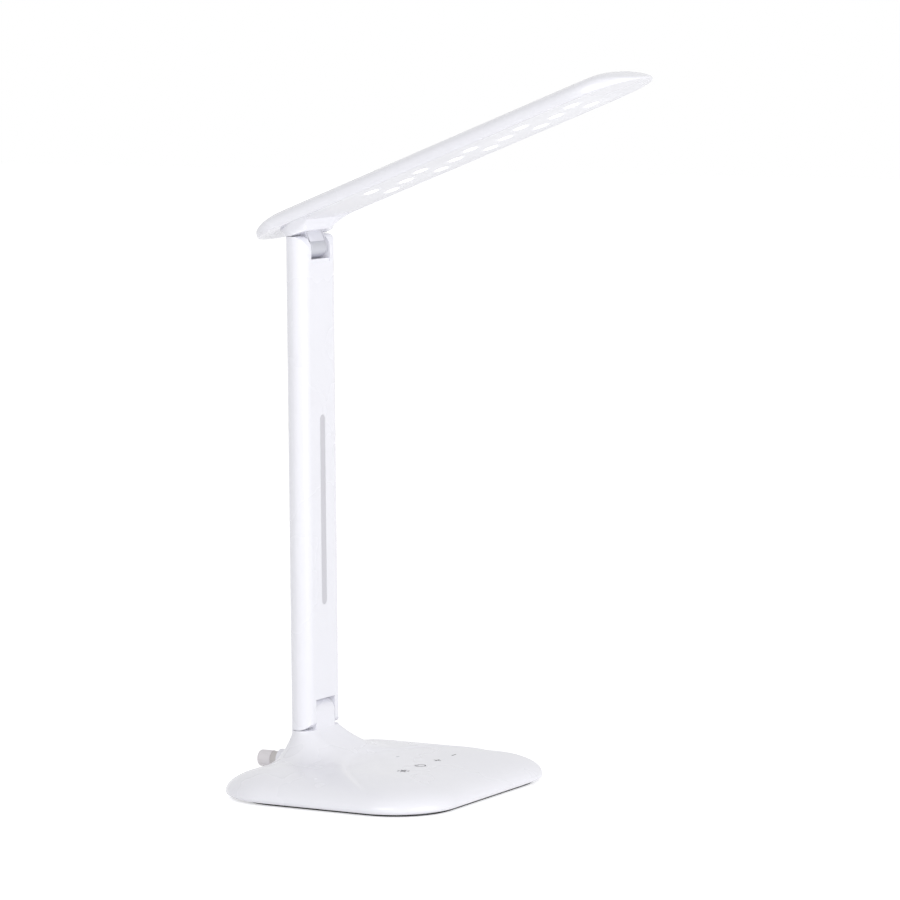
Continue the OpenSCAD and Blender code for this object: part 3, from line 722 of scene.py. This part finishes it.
@dataclass
class Base:
    """The base: a moulding with a sunk touch panel and a flared neck, and what it carries."""

    # The pad and the moulding's swell over it
    pad_w: float = 206.0
    pad_d: float = 174.0
    corner: float = 44.0
    pad_t: float = 2.0
    swell_side: float = 8.5
    swell_front: float = 6.5
    swell_rear: float = 13.5
    turn_in: float = 5.0
    swell_z: float = 5.0
    top_z: float = 23.5
    rim_run: float = 57.0
    rim_share: float = 0.6
    wall: float = 2.4
    roof_drop: float = 3.76
    # The sunk panel
    dish: float = 1.0
    dish_run: float = 30.0
    dish_y: float = 30.0
    dish_curve: float = 154.0
    dish_ramp: float = 7.0
    # The neck, its flare and the soft edge of its shoulder as (inset, drop)
    shoulder_z: float = 43.0
    shoulder_edge: tuple = ((0.0, 0.4), (0.15, 0.1), (0.5, 0.0))
    hinge_z: float = 55.0
    tongue_sunk: float = 2.0
    flare_front: float = 50.0
    flare_rear: float = 15.0
    flare_power: float = 2.2
    flare_fade: float = 9.0
    # The boss of the cord gland
    gland_z: float = 14.5
    boss_r: float = 8.5
    boss_tip: float = 98.0
    boss_l: float = 24.0
    boss_edge: float = 0.7
    root_from_tip: float = 17.0
    root_run: float = 6.0
    root_flare: float = 4.5
    seat_r: float = 5.0
    seat_depth: float = 6.0
    lead_r: float = 3.1
    # The symbols and the indicator
    key_pitch: float = 25.7
    key_y: float = -35.0
    ink_over: float = 0.06
    ink_under: float = 0.05
    disc_r: float = 2.2
    rays: int = 8
    ray_at: float = 4.1
    ray_l: float = 1.7
    ray_w: float = 0.8
    ring_r: float = 3.9
    ring_w: float = 0.95
    ring_from: float = 118.0
    ring_to: float = 422.0
    gap_bar_l: float = 3.4
    gap_bar_at: float = 3.3
    sign_l: float = 6.4
    sign_w: float = 1.0
    dot_at: tuple[float, float] = (12.85, 0.0)
    dot_r: float = 1.3
    columns: int = 288
    tongue: Tongue = field(default_factory=Tongue)

    def widest(self) -> tuple[float, float, float, float]:
        """Works out the widest outline from the pad and the swells.

        Returns:
            Its half width, half depth, corner radius and middle.
        """
        return (self.pad_w / 2 + self.swell_side,
                self.pad_d / 2 + (self.swell_front + self.swell_rear) / 2,
                self.corner + self.swell_front, (self.swell_rear - self.swell_front) / 2)

    def inset(self, p: Array) -> Array:
        """How far plan points lie inside the widest outline."""
        half_w, half_d, radius, middle = self.widest()
        return inset_in_rect(p - np.array([0, middle]), half_w, half_d, radius)

    def dome(self, p: Array) -> Array:
        """Height of the plain dome: a quarter ellipse over the rim, flat inside it."""
        d = np.clip(self.inset(p) / self.rim_run, 0, 1)
        return self.swell_z + (self.top_z - self.swell_z) * np.sqrt(1 - (1 - d) ** 2)

    def height(self, p: Array) -> Array:
        """Height of the moulding's top over plan points.

        The dome, less a dish ahead of a parabola y = edge - x^2 / curve, plus a flare round the
        neck that falls with (1 - distance / reach) to a power. Its reach runs from the rear
        value to the front value with the direction from the neck.

        Args:
            p: plan points.

        Returns:
            A height for each.
        """
        inset = self.inset(p)
        x, y = p[..., 0], p[..., 1]
        behind = y - self.dish_y + x * x / self.dish_curve
        dish = self.dish * (smooth(1 + behind / self.dish_ramp) - 1) * smooth(inset / self.dish_run)
        half = ARM_HALF_W - ARM_R
        away = np.stack([x - np.clip(x, -half, half), y - POST_Y], -1)
        far = np.linalg.norm(away, axis=-1)
        ahead = -away[..., 1] / np.maximum(far, 0.02)
        reach = mix(self.flare_rear, self.flare_front, (1 + ahead) / 2)
        t = np.clip(np.maximum(far - ARM_R, 0) / reach, 0, 1)
        flare = (self.shoulder_z - self.top_z) * (1 - t) ** self.flare_power
        return self.dome(p) + dish + flare * smooth(inset / self.flare_fade)

    def outline(self, inset: float) -> Array:
        """Makes the widest outline, drawn in.

        Args:
            inset: how far it is drawn in.

        Returns:
            Plan points.
        """
        share = np.arange(self.columns) / self.columns
        half_w, half_d, radius, middle = self.widest()
        plan = on_rounded_rect(share, half_w - inset, half_d - inset, radius - inset)
        return plan + np.array([0, middle])

    def neck(self, inset: float = 0.0) -> Array:
        """The arm's section at the neck, drawn in by an inset."""
        share, r = np.arange(self.columns) / self.columns, ARM_R - inset
        return on_rounded_rect(share, ARM_HALF_W - inset, r, r) + np.array([0, POST_Y])

    def moulding(self) -> bpy.types.Object:
        """Lofts the shell from the roof of its hollow, round the foot and up to the shoulder.

        Rows run between matching points of the neck and of an outline. Over the rim they lie at
        insets of edge (1 - cos t); the foot turns in by turn_in (1 - cos t) as it falls by sin t.

        Returns:
            The shell.
        """
        inner, outer, neck = self.outline(self.turn_in + self.wall), self.outline(0), self.neck()
        rows = []
        for w in 1 - (1 - np.linspace(0, 1, 14)) ** 2:
            p = mix(neck, inner, w)
            rows.append(lift(p, self.dome(p) - self.roof_drop))
        rows.append(lift(inner, mix(self.pad_t, rows[-1][:, 2], 0.5)))
        rows.append(lift(inner, self.pad_t))
        for t in np.linspace(math.pi / 2, 0, 14)[:-1]:
            rows.append(lift(self.outline(self.turn_in * (1 - math.cos(t))),
                             self.swell_z - (self.swell_z - self.pad_t) * math.sin(t)))
        span = np.linalg.norm(outer - neck, axis=-1)
        edge = np.minimum(self.rim_run, self.rim_share * span)
        shares = [edge * (1 - math.cos(t)) / span for t in np.linspace(0, math.pi / 2, 44)]
        shares += [mix(edge / span, 1.0, t) for t in np.linspace(0, 1, 96)[1:-1]]
        for share in shares:
            p = mix(outer, neck, share[:, None])
            rows.append(lift(p, self.height(p)))
        rows += [lift(self.neck(inset), self.shoulder_z - drop)
                 for inset, drop in self.shoulder_edge]
        return skin("base_moulding", np.stack(rows))

    def boss(self) -> bpy.types.Object:
        """Turns the gland's boss about its axis, with a flared root and the bore for a lead.

        The root's radius is r + flare (1 - sin t)^2 where it has run forward by run sin t. A
        profile point goes to x = r sin a, z = height + r cos a for every angle a.

        Returns:
            The boss.
        """
        tip, r, back = self.boss_tip, self.boss_r, self.boss_tip - self.boss_l
        floor = tip - self.seat_depth
        t = np.linspace(0, math.pi / 2, 9)
        root = np.stack([tip - self.root_from_tip + self.root_run * np.sin(t),
                         r + self.root_flare * (1 - np.sin(t)) ** 2], -1)
        rim = np.array([tip, r]) + self.boss_edge * np.stack([np.sin(t) - 1, np.cos(t) - 1], -1)
        profile = np.concatenate([[[back, self.lead_r], [back, r + self.root_flare]], root, rim,
                                  [[tip, self.seat_r], [floor, self.seat_r],
                                   [floor, self.lead_r]]])
        a, y, radius = around(96), profile[:, :1], profile[:, 1:]
        rows = np.stack([radius * np.sin(a), y + 0 * a, self.gland_z + radius * np.cos(a)], -1)
        return skin("gland_boss", rows, Ends.JOINED)

    def symbols(self) -> dict[str, list[Array]]:
        """Strokes of four generic touch symbols.

        The light mode is a disc between eight rays, power an open ring with a bar in its gap.

        Returns:
            Grids of plan points, by the symbol's name.
        """
        rays = [bar((self.ray_at * math.cos(a), self.ray_at * math.sin(a)), self.ray_l,
                    self.ray_w, math.degrees(a)) for a in around(self.rays)]
        level, upright = (bar((0, 0), self.sign_l, self.sign_w, degrees) for degrees in (0, 90))
        ring = arc_band(self.ring_r, self.ring_w, self.ring_from, self.ring_to)
        return {"mode": [disc(self.disc_r), *rays],
                "power": [ring, bar((0, self.gap_bar_at), self.gap_bar_l, self.ring_w, 90)],
                "plus": [level, upright], "minus": [level]}

    def printed(self, name: str, strokes: list[Array], x: float, y: float) -> bpy.types.Object:
        """Lays closed strokes on the top as a thin layer, just under to just over the surface.

        Args:
            name: name of the piece.
            strokes: grids of plan points, rows by columns by 2.
            x: place of their origin.
            y: place of their origin.

        Returns:
            The layer.
        """
        points, faces, base = [], [], 0
        for grid in strokes:
            n, m = grid.shape[:2]
            p = grid.reshape(-1, 2) + np.array([x, y])
            z = self.height(p)
            points += [lift(p, z + self.ink_over), lift(p, z - self.ink_under)]
            i, j = np.meshgrid(np.arange(n - 1), np.arange(m - 1), indexing="ij")
            q = np.stack([i * m + j, i * m + j + 1, (i + 1) * m + j + 1, (i + 1) * m + j], -1)
            q = q.reshape(-1, 4) + base
            rim = np.concatenate([np.arange(m), np.arange(1, n) * m + m - 1,
                                  (n - 1) * m + np.arange(m - 2, -1, -1),
                                  np.arange(n - 2, 0, -1) * m]) + base
            after = np.roll(rim, -1)
            side = np.stack([rim, after, after + n * m, rim + n * m], -1)
            faces += q.tolist() + (q[:, ::-1] + n * m).tolist() + side.tolist()
            base += 2 * n * m
        return solid(name, np.concatenate(points), faces)

    def build(self, nodes: dict) -> None:
        """Builds and dresses the base's pieces.

        Args:
            nodes: the CAD nodes by name.
        """
        fit(self.moulding(), WHITE_ABS, "base", "white_housing", "base_shell")
        tongue = self.tongue.build("lower_tongue", (0, POST_Y, self.hinge_z),
                                   self.hinge_z - self.shoulder_z + self.tongue_sunk)
        fit(tongue, WHITE_ABS, "base", "white_housing")
        fit(self.boss(), WHITE_ABS, "base", "white_housing")
        for k, (name, strokes) in enumerate(self.symbols().items()):
            mark = self.printed("symbol_" + name, strokes, (k - 1.5) * self.key_pitch, self.key_y)
            fit(mark, SYMBOL_INK, "base", "dark_collar")
        dot = self.printed("indicator_dot", [disc(self.dot_r)], *self.dot_at)
        fit(dot, PIPE_END, "base", "clear_pipe")
        for node, finish in {
            "bottom_cover": GREY_ABS, "foot_pad": PAD_RUBBER, "ballast_plate": ZINC_PLATE,
            "cover_screws": ZINC_SCREW, "touch_board": GREEN_BOARD, "touch_springs": SPRING_STEEL,
            "board_screws": ZINC_SCREW, "indicator_pipe": CLEAR_PIPE, "gland_collar": COLLAR_TPE,
            "cord_gland": GLAND_TPE, "lower_bush": BRONZE,
        }.items():
            dress(nodes[node], finish)


def bar(centre: tuple[float, float], length: float, width: float, degrees: float) -> Array:
    """Makes the grid of a straight bar with square ends, in plan.

    Args:
        centre: its middle.
        length: its length.
        width: its width.
        degrees: its turn from the X axis.

    Returns:
        A grid of plan points.
    """
    c, s = math.cos(math.radians(degrees)), math.sin(math.radians(degrees))
    u, v = np.meshgrid(np.linspace(-0.5, 0.5, 9) * length, np.linspace(-0.5, 0.5, 3) * width)
    return np.stack([centre[0] + u * c - v * s, centre[1] + u * s + v * c], -1)


def disc(radius: float) -> Array:
    """Grid of a disc: a square (u, v) pressed round by x = u sqrt(1 - v^2 / 2) and its like."""
    u, v = np.meshgrid(np.linspace(-1, 1, 13), np.linspace(-1, 1, 13))
    return radius * np.stack([u * np.sqrt(1 - v * v / 2), v * np.sqrt(1 - u * u / 2)], -1)


def arc_band(radius: float, width: float, start: float, stop: float) -> Array:
    """Makes the grid of a band along an arc, in plan.

    Args:
        radius: radius of its middle line.
        width: its width.
        start: its first angle in degrees.
        stop: its last angle in degrees.

    Returns:
        A grid of plan points.
    """
    a, r = np.meshgrid(np.radians(np.linspace(start, stop, 49)),
                       radius + np.linspace(-0.5, 0.5, 3) * width)
    return np.stack([r * np.cos(a), r * np.sin(a)], -1)


# Arm


@dataclass
class Arm:
    """The upright arm with its two clevises, its inlay, the upper slot and both hinges."""

    saddle: Saddle = field(default_factory=Saddle)

    def build(self, nodes: dict) -> None:
        """Builds the slot's ledge and dresses the arm's pieces.

        Args:
            nodes: the CAD nodes by name.
        """
        for node, finish in {
            "arm_front_shell": WHITE_ABS, "arm_back_shell": WHITE_ABS, "arm_strip": STRIP_ABS,
            "arm_lead": LEAD_PVC, "lower_pin": PIN_STEEL, "lower_washers": SPRING_STEEL,
            "lower_nut": ZINC_SCREW, "upper_pin": PIN_STEEL, "upper_washers": SPRING_STEEL,
            "upper_nut": ZINC_SCREW,
        }.items():
            dress(nodes[node], finish)
        fit(self.saddle.cradle(UPPER_HINGE), WHITE_ABS, "arm", "white_housing")


# Head


@dataclass
class Head:
    """The paddle shaped head with its diffuser, light windows and flared knuckle."""

    # The housing: its plan, its arch and the rounding of its edge
    front: float = 315.5
    rear: float = 31.0
    half_w: float = 41.0
    taper: float = 2.0
    under: float = 18.0
    thick: float = 14.25
    nose_run: float = 54.0
    tail_run: float = 28.0
    tail_from: float = 0.0633
    nose_power: float = 2.6
    tail_power: float = 2.4
    widest: float = 220.0
    crown_nose: float = 30.0
    crown_power: float = 1.64
    nose_edge: float = 1.5
    tail_edge: float = 2.0
    arch_out: float = 2.2
    arch_in: float = 3.4
    edge: float = 1.4
    least_half_w: float = 0.05
    least_h: float = 0.4
    least_rim: float = 0.02
    # The diffuser in its recess, and the windows in it
    rim: float = 4.0
    lens_t: float = 1.6
    lens_front: float = 281.5
    lens_start: float = 14.25
    lens_soft: float = 0.3
    lens_knee: float = 0.3
    gap: float = 0.25
    window_r: float = 5.4
    window_proud: float = 0.12
    # The knuckle from its seat on the arm to its root in the housing
    foot: float = 10.0
    seat_r: float = 10.2
    seat_front: float = 10.0
    shift: float = -4.0
    root_half_w: float = 37.4
    root_half_d: float = 12.5
    root_power: float = 1.5
    root_sunk: float = 0.2
    sweep_from: float = 18.0
    sweep_run: float = 20.0
    sweep_out: float = 15.0
    peg_inset: float = 6.0
    peg_drop: float = 1.54
    floor_from: float = 0.04
    seat_rounds: int = 8
    columns: int = 256
    sources: Sources = Sources()
    saddle: Saddle = field(default_factory=Saddle)

    def width(self, s: Array, inset: float) -> Array:
        """Half width at stations: tapered sides closed by superellipses at nose and tail.

        Args:
            s: stations ahead of the hinge.
            inset: how far the outline is drawn in.

        Returns:
            A half width for each station.
        """
        side = self.half_w - self.taper * np.clip(1 - s / self.widest, 0, 1) - inset
        nose = np.clip((s - self.front + inset + self.nose_run) / self.nose_run, 0, 1)
        tail = np.clip((-s - self.rear + inset + self.tail_run) / self.tail_run, 0, 1)
        return (side * np.maximum(1 - nose ** self.nose_power, 0) ** (1 / self.nose_power)
                * np.maximum(1 - tail ** self.tail_power, 0) ** (1 / self.tail_power))

    def crown(self, s: Array) -> Array:
        """Height of the middle at stations: a parabola to the nose, a superellipse to the tail.

        Args:
            s: stations ahead of the hinge.

        Returns:
            A height for each station.
        """
        nose = np.clip((s - self.front + self.crown_nose) / self.crown_nose, 0, 1)
        tail = np.clip(-s / self.rear, 0, 1)
        fall = (1 - tail ** self.crown_power) ** (1 / self.crown_power)
        return np.minimum(self.nose_edge + (self.thick - self.nose_edge) * (1 - nose ** 2),
                          self.tail_edge + (self.thick - self.tail_edge) * fall)

    def sections(self, s: Array, open_to: Array, depth: Array) -> Array:
        """Closed cross sections at stations.

        The arch is z = up + (h - up) (1 - |v|^out)^(1 / in) over x = w v. A quarter ellipse
        turns it under, and the under face steps up by depth inside the half width open_to.

        Args:
            s: stations ahead of the hinge.
            open_to: half width of the recess at each station.
            depth: depth of the recess at each station.

        Returns:
            Points in the head's frame, stations by columns by 3.
        """
        w = np.maximum(self.width(s, 0), self.least_half_w)[:, None]
        h = np.maximum(self.crown(s), self.least_h)[:, None]
        up, side = np.minimum(self.edge, h / 3), np.minimum(self.edge, w / 3)
        v = -np.cos(np.linspace(0, math.pi, 97))
        rise = np.maximum(1 - np.abs(v) ** self.arch_out, 0) ** (1 / self.arch_in)
        t = np.linspace(0, math.pi / 2, 7)[1:]
        turn_x, turn_z = w - side * (1 - np.cos(t)), up * (1 - np.sin(t))
        limit = np.minimum(open_to[:, None], w - side - self.least_rim)
        rim_x = mix(w - side, limit, np.linspace(0, 1, 4)[1:-1])
        inner, zero = np.linspace(1, -1, 21), 0 * w
        x = np.concatenate([w * v, turn_x, rim_x, limit, limit * inner, -limit,
                            -rim_x[:, ::-1], -turn_x[:, ::-1]], axis=1)
        z = np.concatenate([up + (h - up) * rise, turn_z, 0 * rim_x, zero,
                            depth[:, None] + 0 * inner, zero, 0 * rim_x, turn_z[:, ::-1]], axis=1)
        return np.stack([x, -s[:, None] + 0 * x, self.under + z], -1)

    def stations(self, inset: float) -> Array:
        """Stations from the tail to the nose, dense where the outline turns.

        Args:
            inset: how far both ends are drawn in.

        Returns:
            Distances ahead of the hinge.
        """
        t = 1 - np.cos(np.linspace(self.tail_from, math.pi / 2, 34))
        tail = -self.rear + inset + self.tail_run * t
        nose = self.front - inset - self.nose_run * t[::-1]
        return np.concatenate([tail, np.linspace(tail[-1], nose[0], 30)[1:-1], nose])

    def place(self, points: Array) -> Array:
        """Points of the head's own frame in the lamp's frame, as photographed."""
        return turned_x(points, -TILT) + np.array(UPPER_HINGE)

    def moulding(self) -> bpy.types.Object:
        """Lofts the housing through its cross sections, with the recess that takes the lens.

        The recess begins and ends in a step, so both its end stations stand twice.

        Returns:
            The housing.
        """
        ends = np.array([self.lens_start - self.gap, self.lens_front + self.gap])
        s = np.unique(np.concatenate([self.stations(0), ends]))
        s = np.sort(np.concatenate([s, ends]))
        depth = np.where((s > ends[0]) & (s < ends[1]), self.lens_t, 0.0)
        first, last = np.flatnonzero(s == ends[0])[1], np.flatnonzero(s == ends[1])[0]
        depth[[first, last]] = self.lens_t
        rows = self.sections(s, self.width(s, self.rim - self.gap), depth)
        return skin("head_moulding", self.place(rows), sharp=50)

    def root_front(self, x: Array) -> Array:
        """How far ahead of the hinge the knuckle's root reaches: a rounded side, swept ahead.

        Args:
            x: places across the head.

        Returns:
            A distance for each.
        """
        bend = np.clip(np.abs(x) - self.root_half_w + ARM_R, 0, ARM_R)
        depth = self.root_half_d - ARM_R + np.sqrt(ARM_R ** 2 - bend ** 2)
        sweep = smooth((np.abs(x) - self.sweep_from) / self.sweep_run)
        return depth - self.shift + self.sweep_out * sweep

    def lens_edge(self, draw: float) -> Array:
        """Makes the lens's outline: the head's at the sides, square ahead, the root's behind.

        Args:
            draw: how far it is drawn in.

        Returns:
            Plan points in the head's frame.
        """
        reach = float(self.width(np.array([2 * self.lens_start]), self.rim + draw)[0])
        x = np.linspace(-reach, reach, 61)
        rear = self.root_front(x) + 2 * self.gap + draw
        s = np.unique(np.concatenate([self.stations(self.rim), [self.lens_front]]))
        s = s[(s > rear[-1] + 1) & (s <= self.lens_front)]
        s = np.clip(s, rear[-1], self.lens_front - draw)
        side = self.width(s, self.rim + draw)
        front = np.linspace((side[-1], -s[-1]), (-side[-1], -s[-1]), 25)[1:-1]
        return np.concatenate([np.stack([side, -s], -1), front,
                               np.stack([-side[::-1], -s[::-1]], -1), np.stack([x, -rear], -1)])

    def lens(self) -> bpy.types.Object:
        """Lofts the diffuser through its outline, with its lower rim rounded.

        Returns:
            The diffuser.
        """
        soft, knee = self.lens_soft, self.lens_knee * self.lens_soft
        rows = [lift(self.lens_edge(draw), self.under + z)
                for draw, z in ((soft, 0.0), (knee, knee), (0, soft), (0, self.lens_t))]
        return skin("diffuser_plate", self.place(np.stack(rows)), Ends.FLAT)

    def windows(self) -> bpy.types.Object:
        """Sets a shallow round window in the diffuser's face over each light source.

        Each is a flat lens shape: at an angle t its radius is r cos t and its height proud sin t.

        Returns:
            All windows as one piece.
        """
        a, t = around(40), np.linspace(-math.pi / 2, math.pi / 2, 15)[1:-1, None]
        r, h = self.window_r * np.cos(t), self.window_proud * np.sin(t)
        points, faces, size = [], [], t.size * a.size + 2
        for k, (x, v) in enumerate(self.sources.spots()):
            rows = np.stack([x + r * np.cos(a), -v + r * np.sin(a), self.under + h + 0 * a], -1)
            poles = [[x, -v, self.under + z] for z in (-self.window_proud, self.window_proud)]
            points += [rows.reshape(-1, 3), np.array(poles)]
            faces += faces_of(t.size, a.size, Ends.CAPPED, k * size)
        return solid("light_windows", self.place(np.concatenate(points)), faces)

    def ring(self, spread: float, grow: float = 0.0) -> Array:
        """Makes a plan of the knuckle between the arm's outline and its root.

        A rounded rectangle widens with the spread, and its sides sweep forward by
        sweep_out smooth((|x| - from) / run).

        Args:
            spread: 0 at the arm's outline, 1 at the root.
            grow: how far the outline is moved out.

        Returns:
            Plan points in the head's frame.
        """
        share = np.arange(self.columns) / self.columns
        plan = on_rounded_rect(share, mix(ARM_HALF_W, self.root_half_w, spread) + grow,
                               mix(ARM_R, self.root_half_d, spread) + grow, ARM_R + grow)
        sweep = smooth((np.abs(plan[:, :1]) - self.sweep_from) / self.sweep_run)
        return plan + np.array([0, self.shift]) - np.array([0, self.sweep_out]) * spread * sweep

    def fairing(self) -> bpy.types.Object:
        """Lofts the flared knuckle from its seat on the arm up into the housing.

        The seat follows the arm's flat top behind the hinge and a circle about the hinge ahead of
        it, down to a level. Each column starts where it leaves the seat, found in a few rounds,
        and rises through rings whose spread is height share ^ root_power.

        Returns:
            The knuckle.
        """
        sin, cos, steps = math.sin(math.radians(TILT)), math.cos(math.radians(TILT)), 64
        top = self.under + self.root_sunk
        table = np.stack([self.ring(k) for k in np.linspace(0, 1, steps + 1) ** self.root_power])
        column = np.arange(self.columns)

        def at(h: Array) -> Array:
            """Finds where each column is at a height.

            Args:
                h: a height for each column.

            Returns:
                A plan point for each column.
            """
            step = np.clip((h - self.seat_front) / (top - self.seat_front), 0, 1) * steps
            low = np.minimum(step.astype(int), steps - 1)
            return mix(table[low, column], table[low + 1, column], (step - low)[:, None])

        def seat(p: Array) -> Array:
            """Height of the seat over plan points.

            Args:
                p: plan points.

            Returns:
                A height for each.
            """
            y = p[:, 1]
            bend = np.sqrt(np.maximum(self.seat_r ** 2 - y ** 2, self.seat_front ** 2))
            return np.where(y > -self.foot * sin,
                            np.maximum((self.foot + y * sin) / cos, bend), bend)

        start = np.full(self.columns, self.foot)
        for _ in range(self.seat_rounds):
            start = seat(at(start))
        rim, middle = at(start), np.array([0, self.shift])
        floor = [mix(middle, rim, k) for k in np.linspace(self.floor_from, 1, 12)]
        rises = [mix(start, top, t) for t in np.linspace(0, 1, 41)[1:]]
        rows = [*(lift(p, seat(p)) for p in floor), *(lift(at(h), h) for h in rises),
                lift(self.ring(0.0, -self.peg_inset), self.under + self.thick - self.peg_drop)]
        return skin("head_knuckle", self.place(np.stack(rows)))

    def build(self, nodes: dict) -> None:
        """Builds and dresses the head's pieces.

        Args:
            nodes: the CAD nodes by name.
        """
        fit(self.moulding(), WHITE_ABS, "head", "white_housing", "head_housing")
        fit(self.fairing(), WHITE_ABS, "head", "white_housing")
        # The saddle's block and plates carry painted shade of the slot in their greyer colour
        fit(self.saddle.block(UPPER_HINGE), SHADED_SADDLE_ABS, "head", "white_housing")
        fit(self.saddle.plates(UPPER_HINGE), SHADED_SADDLE_ABS, "head", "white_housing")
        fit(self.saddle.barrel(UPPER_HINGE), BARREL_STEEL, "head", "pin_steel", "upper_bush")
        fit(self.lens(), FROSTED_LENS, "head", "frosted_lens", "lens")
        fit(self.windows(), LIGHT_WINDOW, "head", "light_source")
        for node, finish in {"led_board": WHITE_BOARD, "leds": PHOSPHOR,
                             "heat_spreader": BARE_ALUMINIUM, "led_screws": ZINC_SCREW}.items():
            dress(nodes[node], finish)


# Studio


@dataclass
class Studio:
    """A white cove with soft lamps and the photograph's camera, in metres, radians and watts."""

    eye: Point = (-2.9239, -1.7295, 0.6267)
    look: Point = (0.8628, 0.4941, -0.1070)
    lens_mm: float = 179.66
    sensor_mm: float = 36.0
    roll: float = -0.0082
    shift: tuple[float, float] = (0.001, -0.001)
    world_light: float = 0.58
    aim: Point = (0.0, 0.0, 0.25)
    box_size: float = 1.6
    boxes: tuple = (("front_box", (-0.8, -3.0, 0.8), 35.0), ("left_box", (-3.0, -0.4, 1.6), 26.0))
    floor_half: float = 9.0
    floor_z: float = -2e-4
    floor_lift: float = 0.5

    def camera(self) -> None:
        """Places the camera where the fit to the photograph's edges puts it."""
        data = bpy.data.cameras.new("camera")
        data.lens, data.sensor_width = self.lens_mm, self.sensor_mm
        data.shift_x, data.shift_y = self.shift
        data.clip_start, data.clip_end = 0.05, 50.0
        cam = bpy.data.objects.new("camera", data)
        cam.location = self.eye
        cam.rotation_mode = "QUATERNION"
        turn = Quaternion((0, 0, 1), self.roll)
        cam.rotation_quaternion = Vector(self.look).to_track_quat("-Z", "Y") @ turn
        bpy.context.scene.collection.objects.link(cam)
        bpy.context.scene.camera = cam

    def lamp(self, name: str, at: Point, power: float) -> None:
        """Hangs one square soft box that faces the lamp's middle.

        Args:
            name: its name.
            at: its place.
            power: its power.
        """
        data = bpy.data.lights.new(name, "AREA")
        data.shape, data.size, data.energy = "SQUARE", self.box_size, power
        box = bpy.data.objects.new(name, data)
        box.location = at
        box.rotation_mode = "QUATERNION"
        box.rotation_quaternion = (Vector(self.aim) - Vector(at)).to_track_quat("-Z", "Y")
        bpy.context.scene.collection.objects.link(box)

    def seen(self, tree: bpy.types.NodeTree) -> bpy.types.NodeSocket:
        """Tells camera, glossy and transmission rays from the others.

        Args:
            tree: the node tree that asks.

        Returns:
            A socket with 1 for those rays and 0 for the others.
        """
        path = add(tree, "ShaderNodeLightPath").outputs
        some = add(tree, "ShaderNodeMath", {"operation": "MAXIMUM"},
                   {0: path["Is Camera Ray"], 1: path["Is Glossy Ray"]})
        return add(tree, "ShaderNodeMath", {"operation": "MAXIMUM"},
                   {0: some.outputs[0], 1: path["Is Transmission Ray"]}).outputs[0]

    def world(self) -> None:
        """Lights evenly from all round, and shows white to the eye and in reflections."""
        world = bpy.data.worlds.new("cove")
        bpy.context.scene.world = world
        world.use_nodes = True
        tree = world.node_tree
        tree.nodes.clear()
        level = add(tree, "ShaderNodeMix", {"data_type": "FLOAT"},
                    {"Factor": self.seen(tree), 2: self.world_light, 3: 1.0})
        sky = add(tree, "ShaderNodeBackground",
                  inputs={"Color": (1, 1, 1, 1), "Strength": level.outputs[0]})
        add(tree, "ShaderNodeOutputWorld", inputs={"Surface": sky.outputs[0]})

    def floor(self) -> None:
        """Lays a pale floor that renders white and keeps the lamp's soft shadow."""
        mesh, half = bpy.data.meshes.new("floor"), self.floor_half
        corners = ((-half, -half), (half, -half), (half, half), (-half, half))
        mesh.from_pydata([(x, y, self.floor_z) for x, y in corners], [], [(0, 1, 2, 3)])
        plane = bpy.data.objects.new("floor", mesh)
        bpy.context.scene.collection.objects.link(plane)
        # Matt white paint: bright and even, with light of its own on seen rays only
        made = bpy.data.materials.new("painted_white_floor")
        made.use_nodes = True
        tree = made.node_tree
        tree.nodes.clear()
        own = add(tree, "ShaderNodeMath", {"operation": "MULTIPLY"},
                  {0: self.seen(tree), 1: self.floor_lift})
        paint = add(tree, "ShaderNodeBsdfDiffuse", inputs={"Color": linear("#FAFAFB")})
        light = add(tree, "ShaderNodeEmission", inputs={"Strength": own.outputs[0]})
        both = add(tree, "ShaderNodeAddShader", inputs={0: paint.outputs[0], 1: light.outputs[0]})
        add(tree, "ShaderNodeOutputMaterial", inputs={"Surface": both.outputs[0]})
        mesh.materials.append(made)

    def build(self) -> None:
        """Sets the whole studio up."""
        bpy.context.scene.view_settings.view_transform = "Standard"
        self.camera()
        self.world()
        self.floor()
        for box in self.boxes:
            self.lamp(*box)
        LOG.info("studio ready")


def main() -> None:
    """Builds the lamp's pieces in order."""
    logging.basicConfig(level=logging.INFO, format="%(name)s: %(message)s")
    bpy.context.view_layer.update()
    Studio().build()
    for assembly in (Base(), Arm(), Head()):
        assembly.build(frame["nodes"])
        LOG.info("%s done", type(assembly).__name__)


if __name__ == "__main__":
    main()
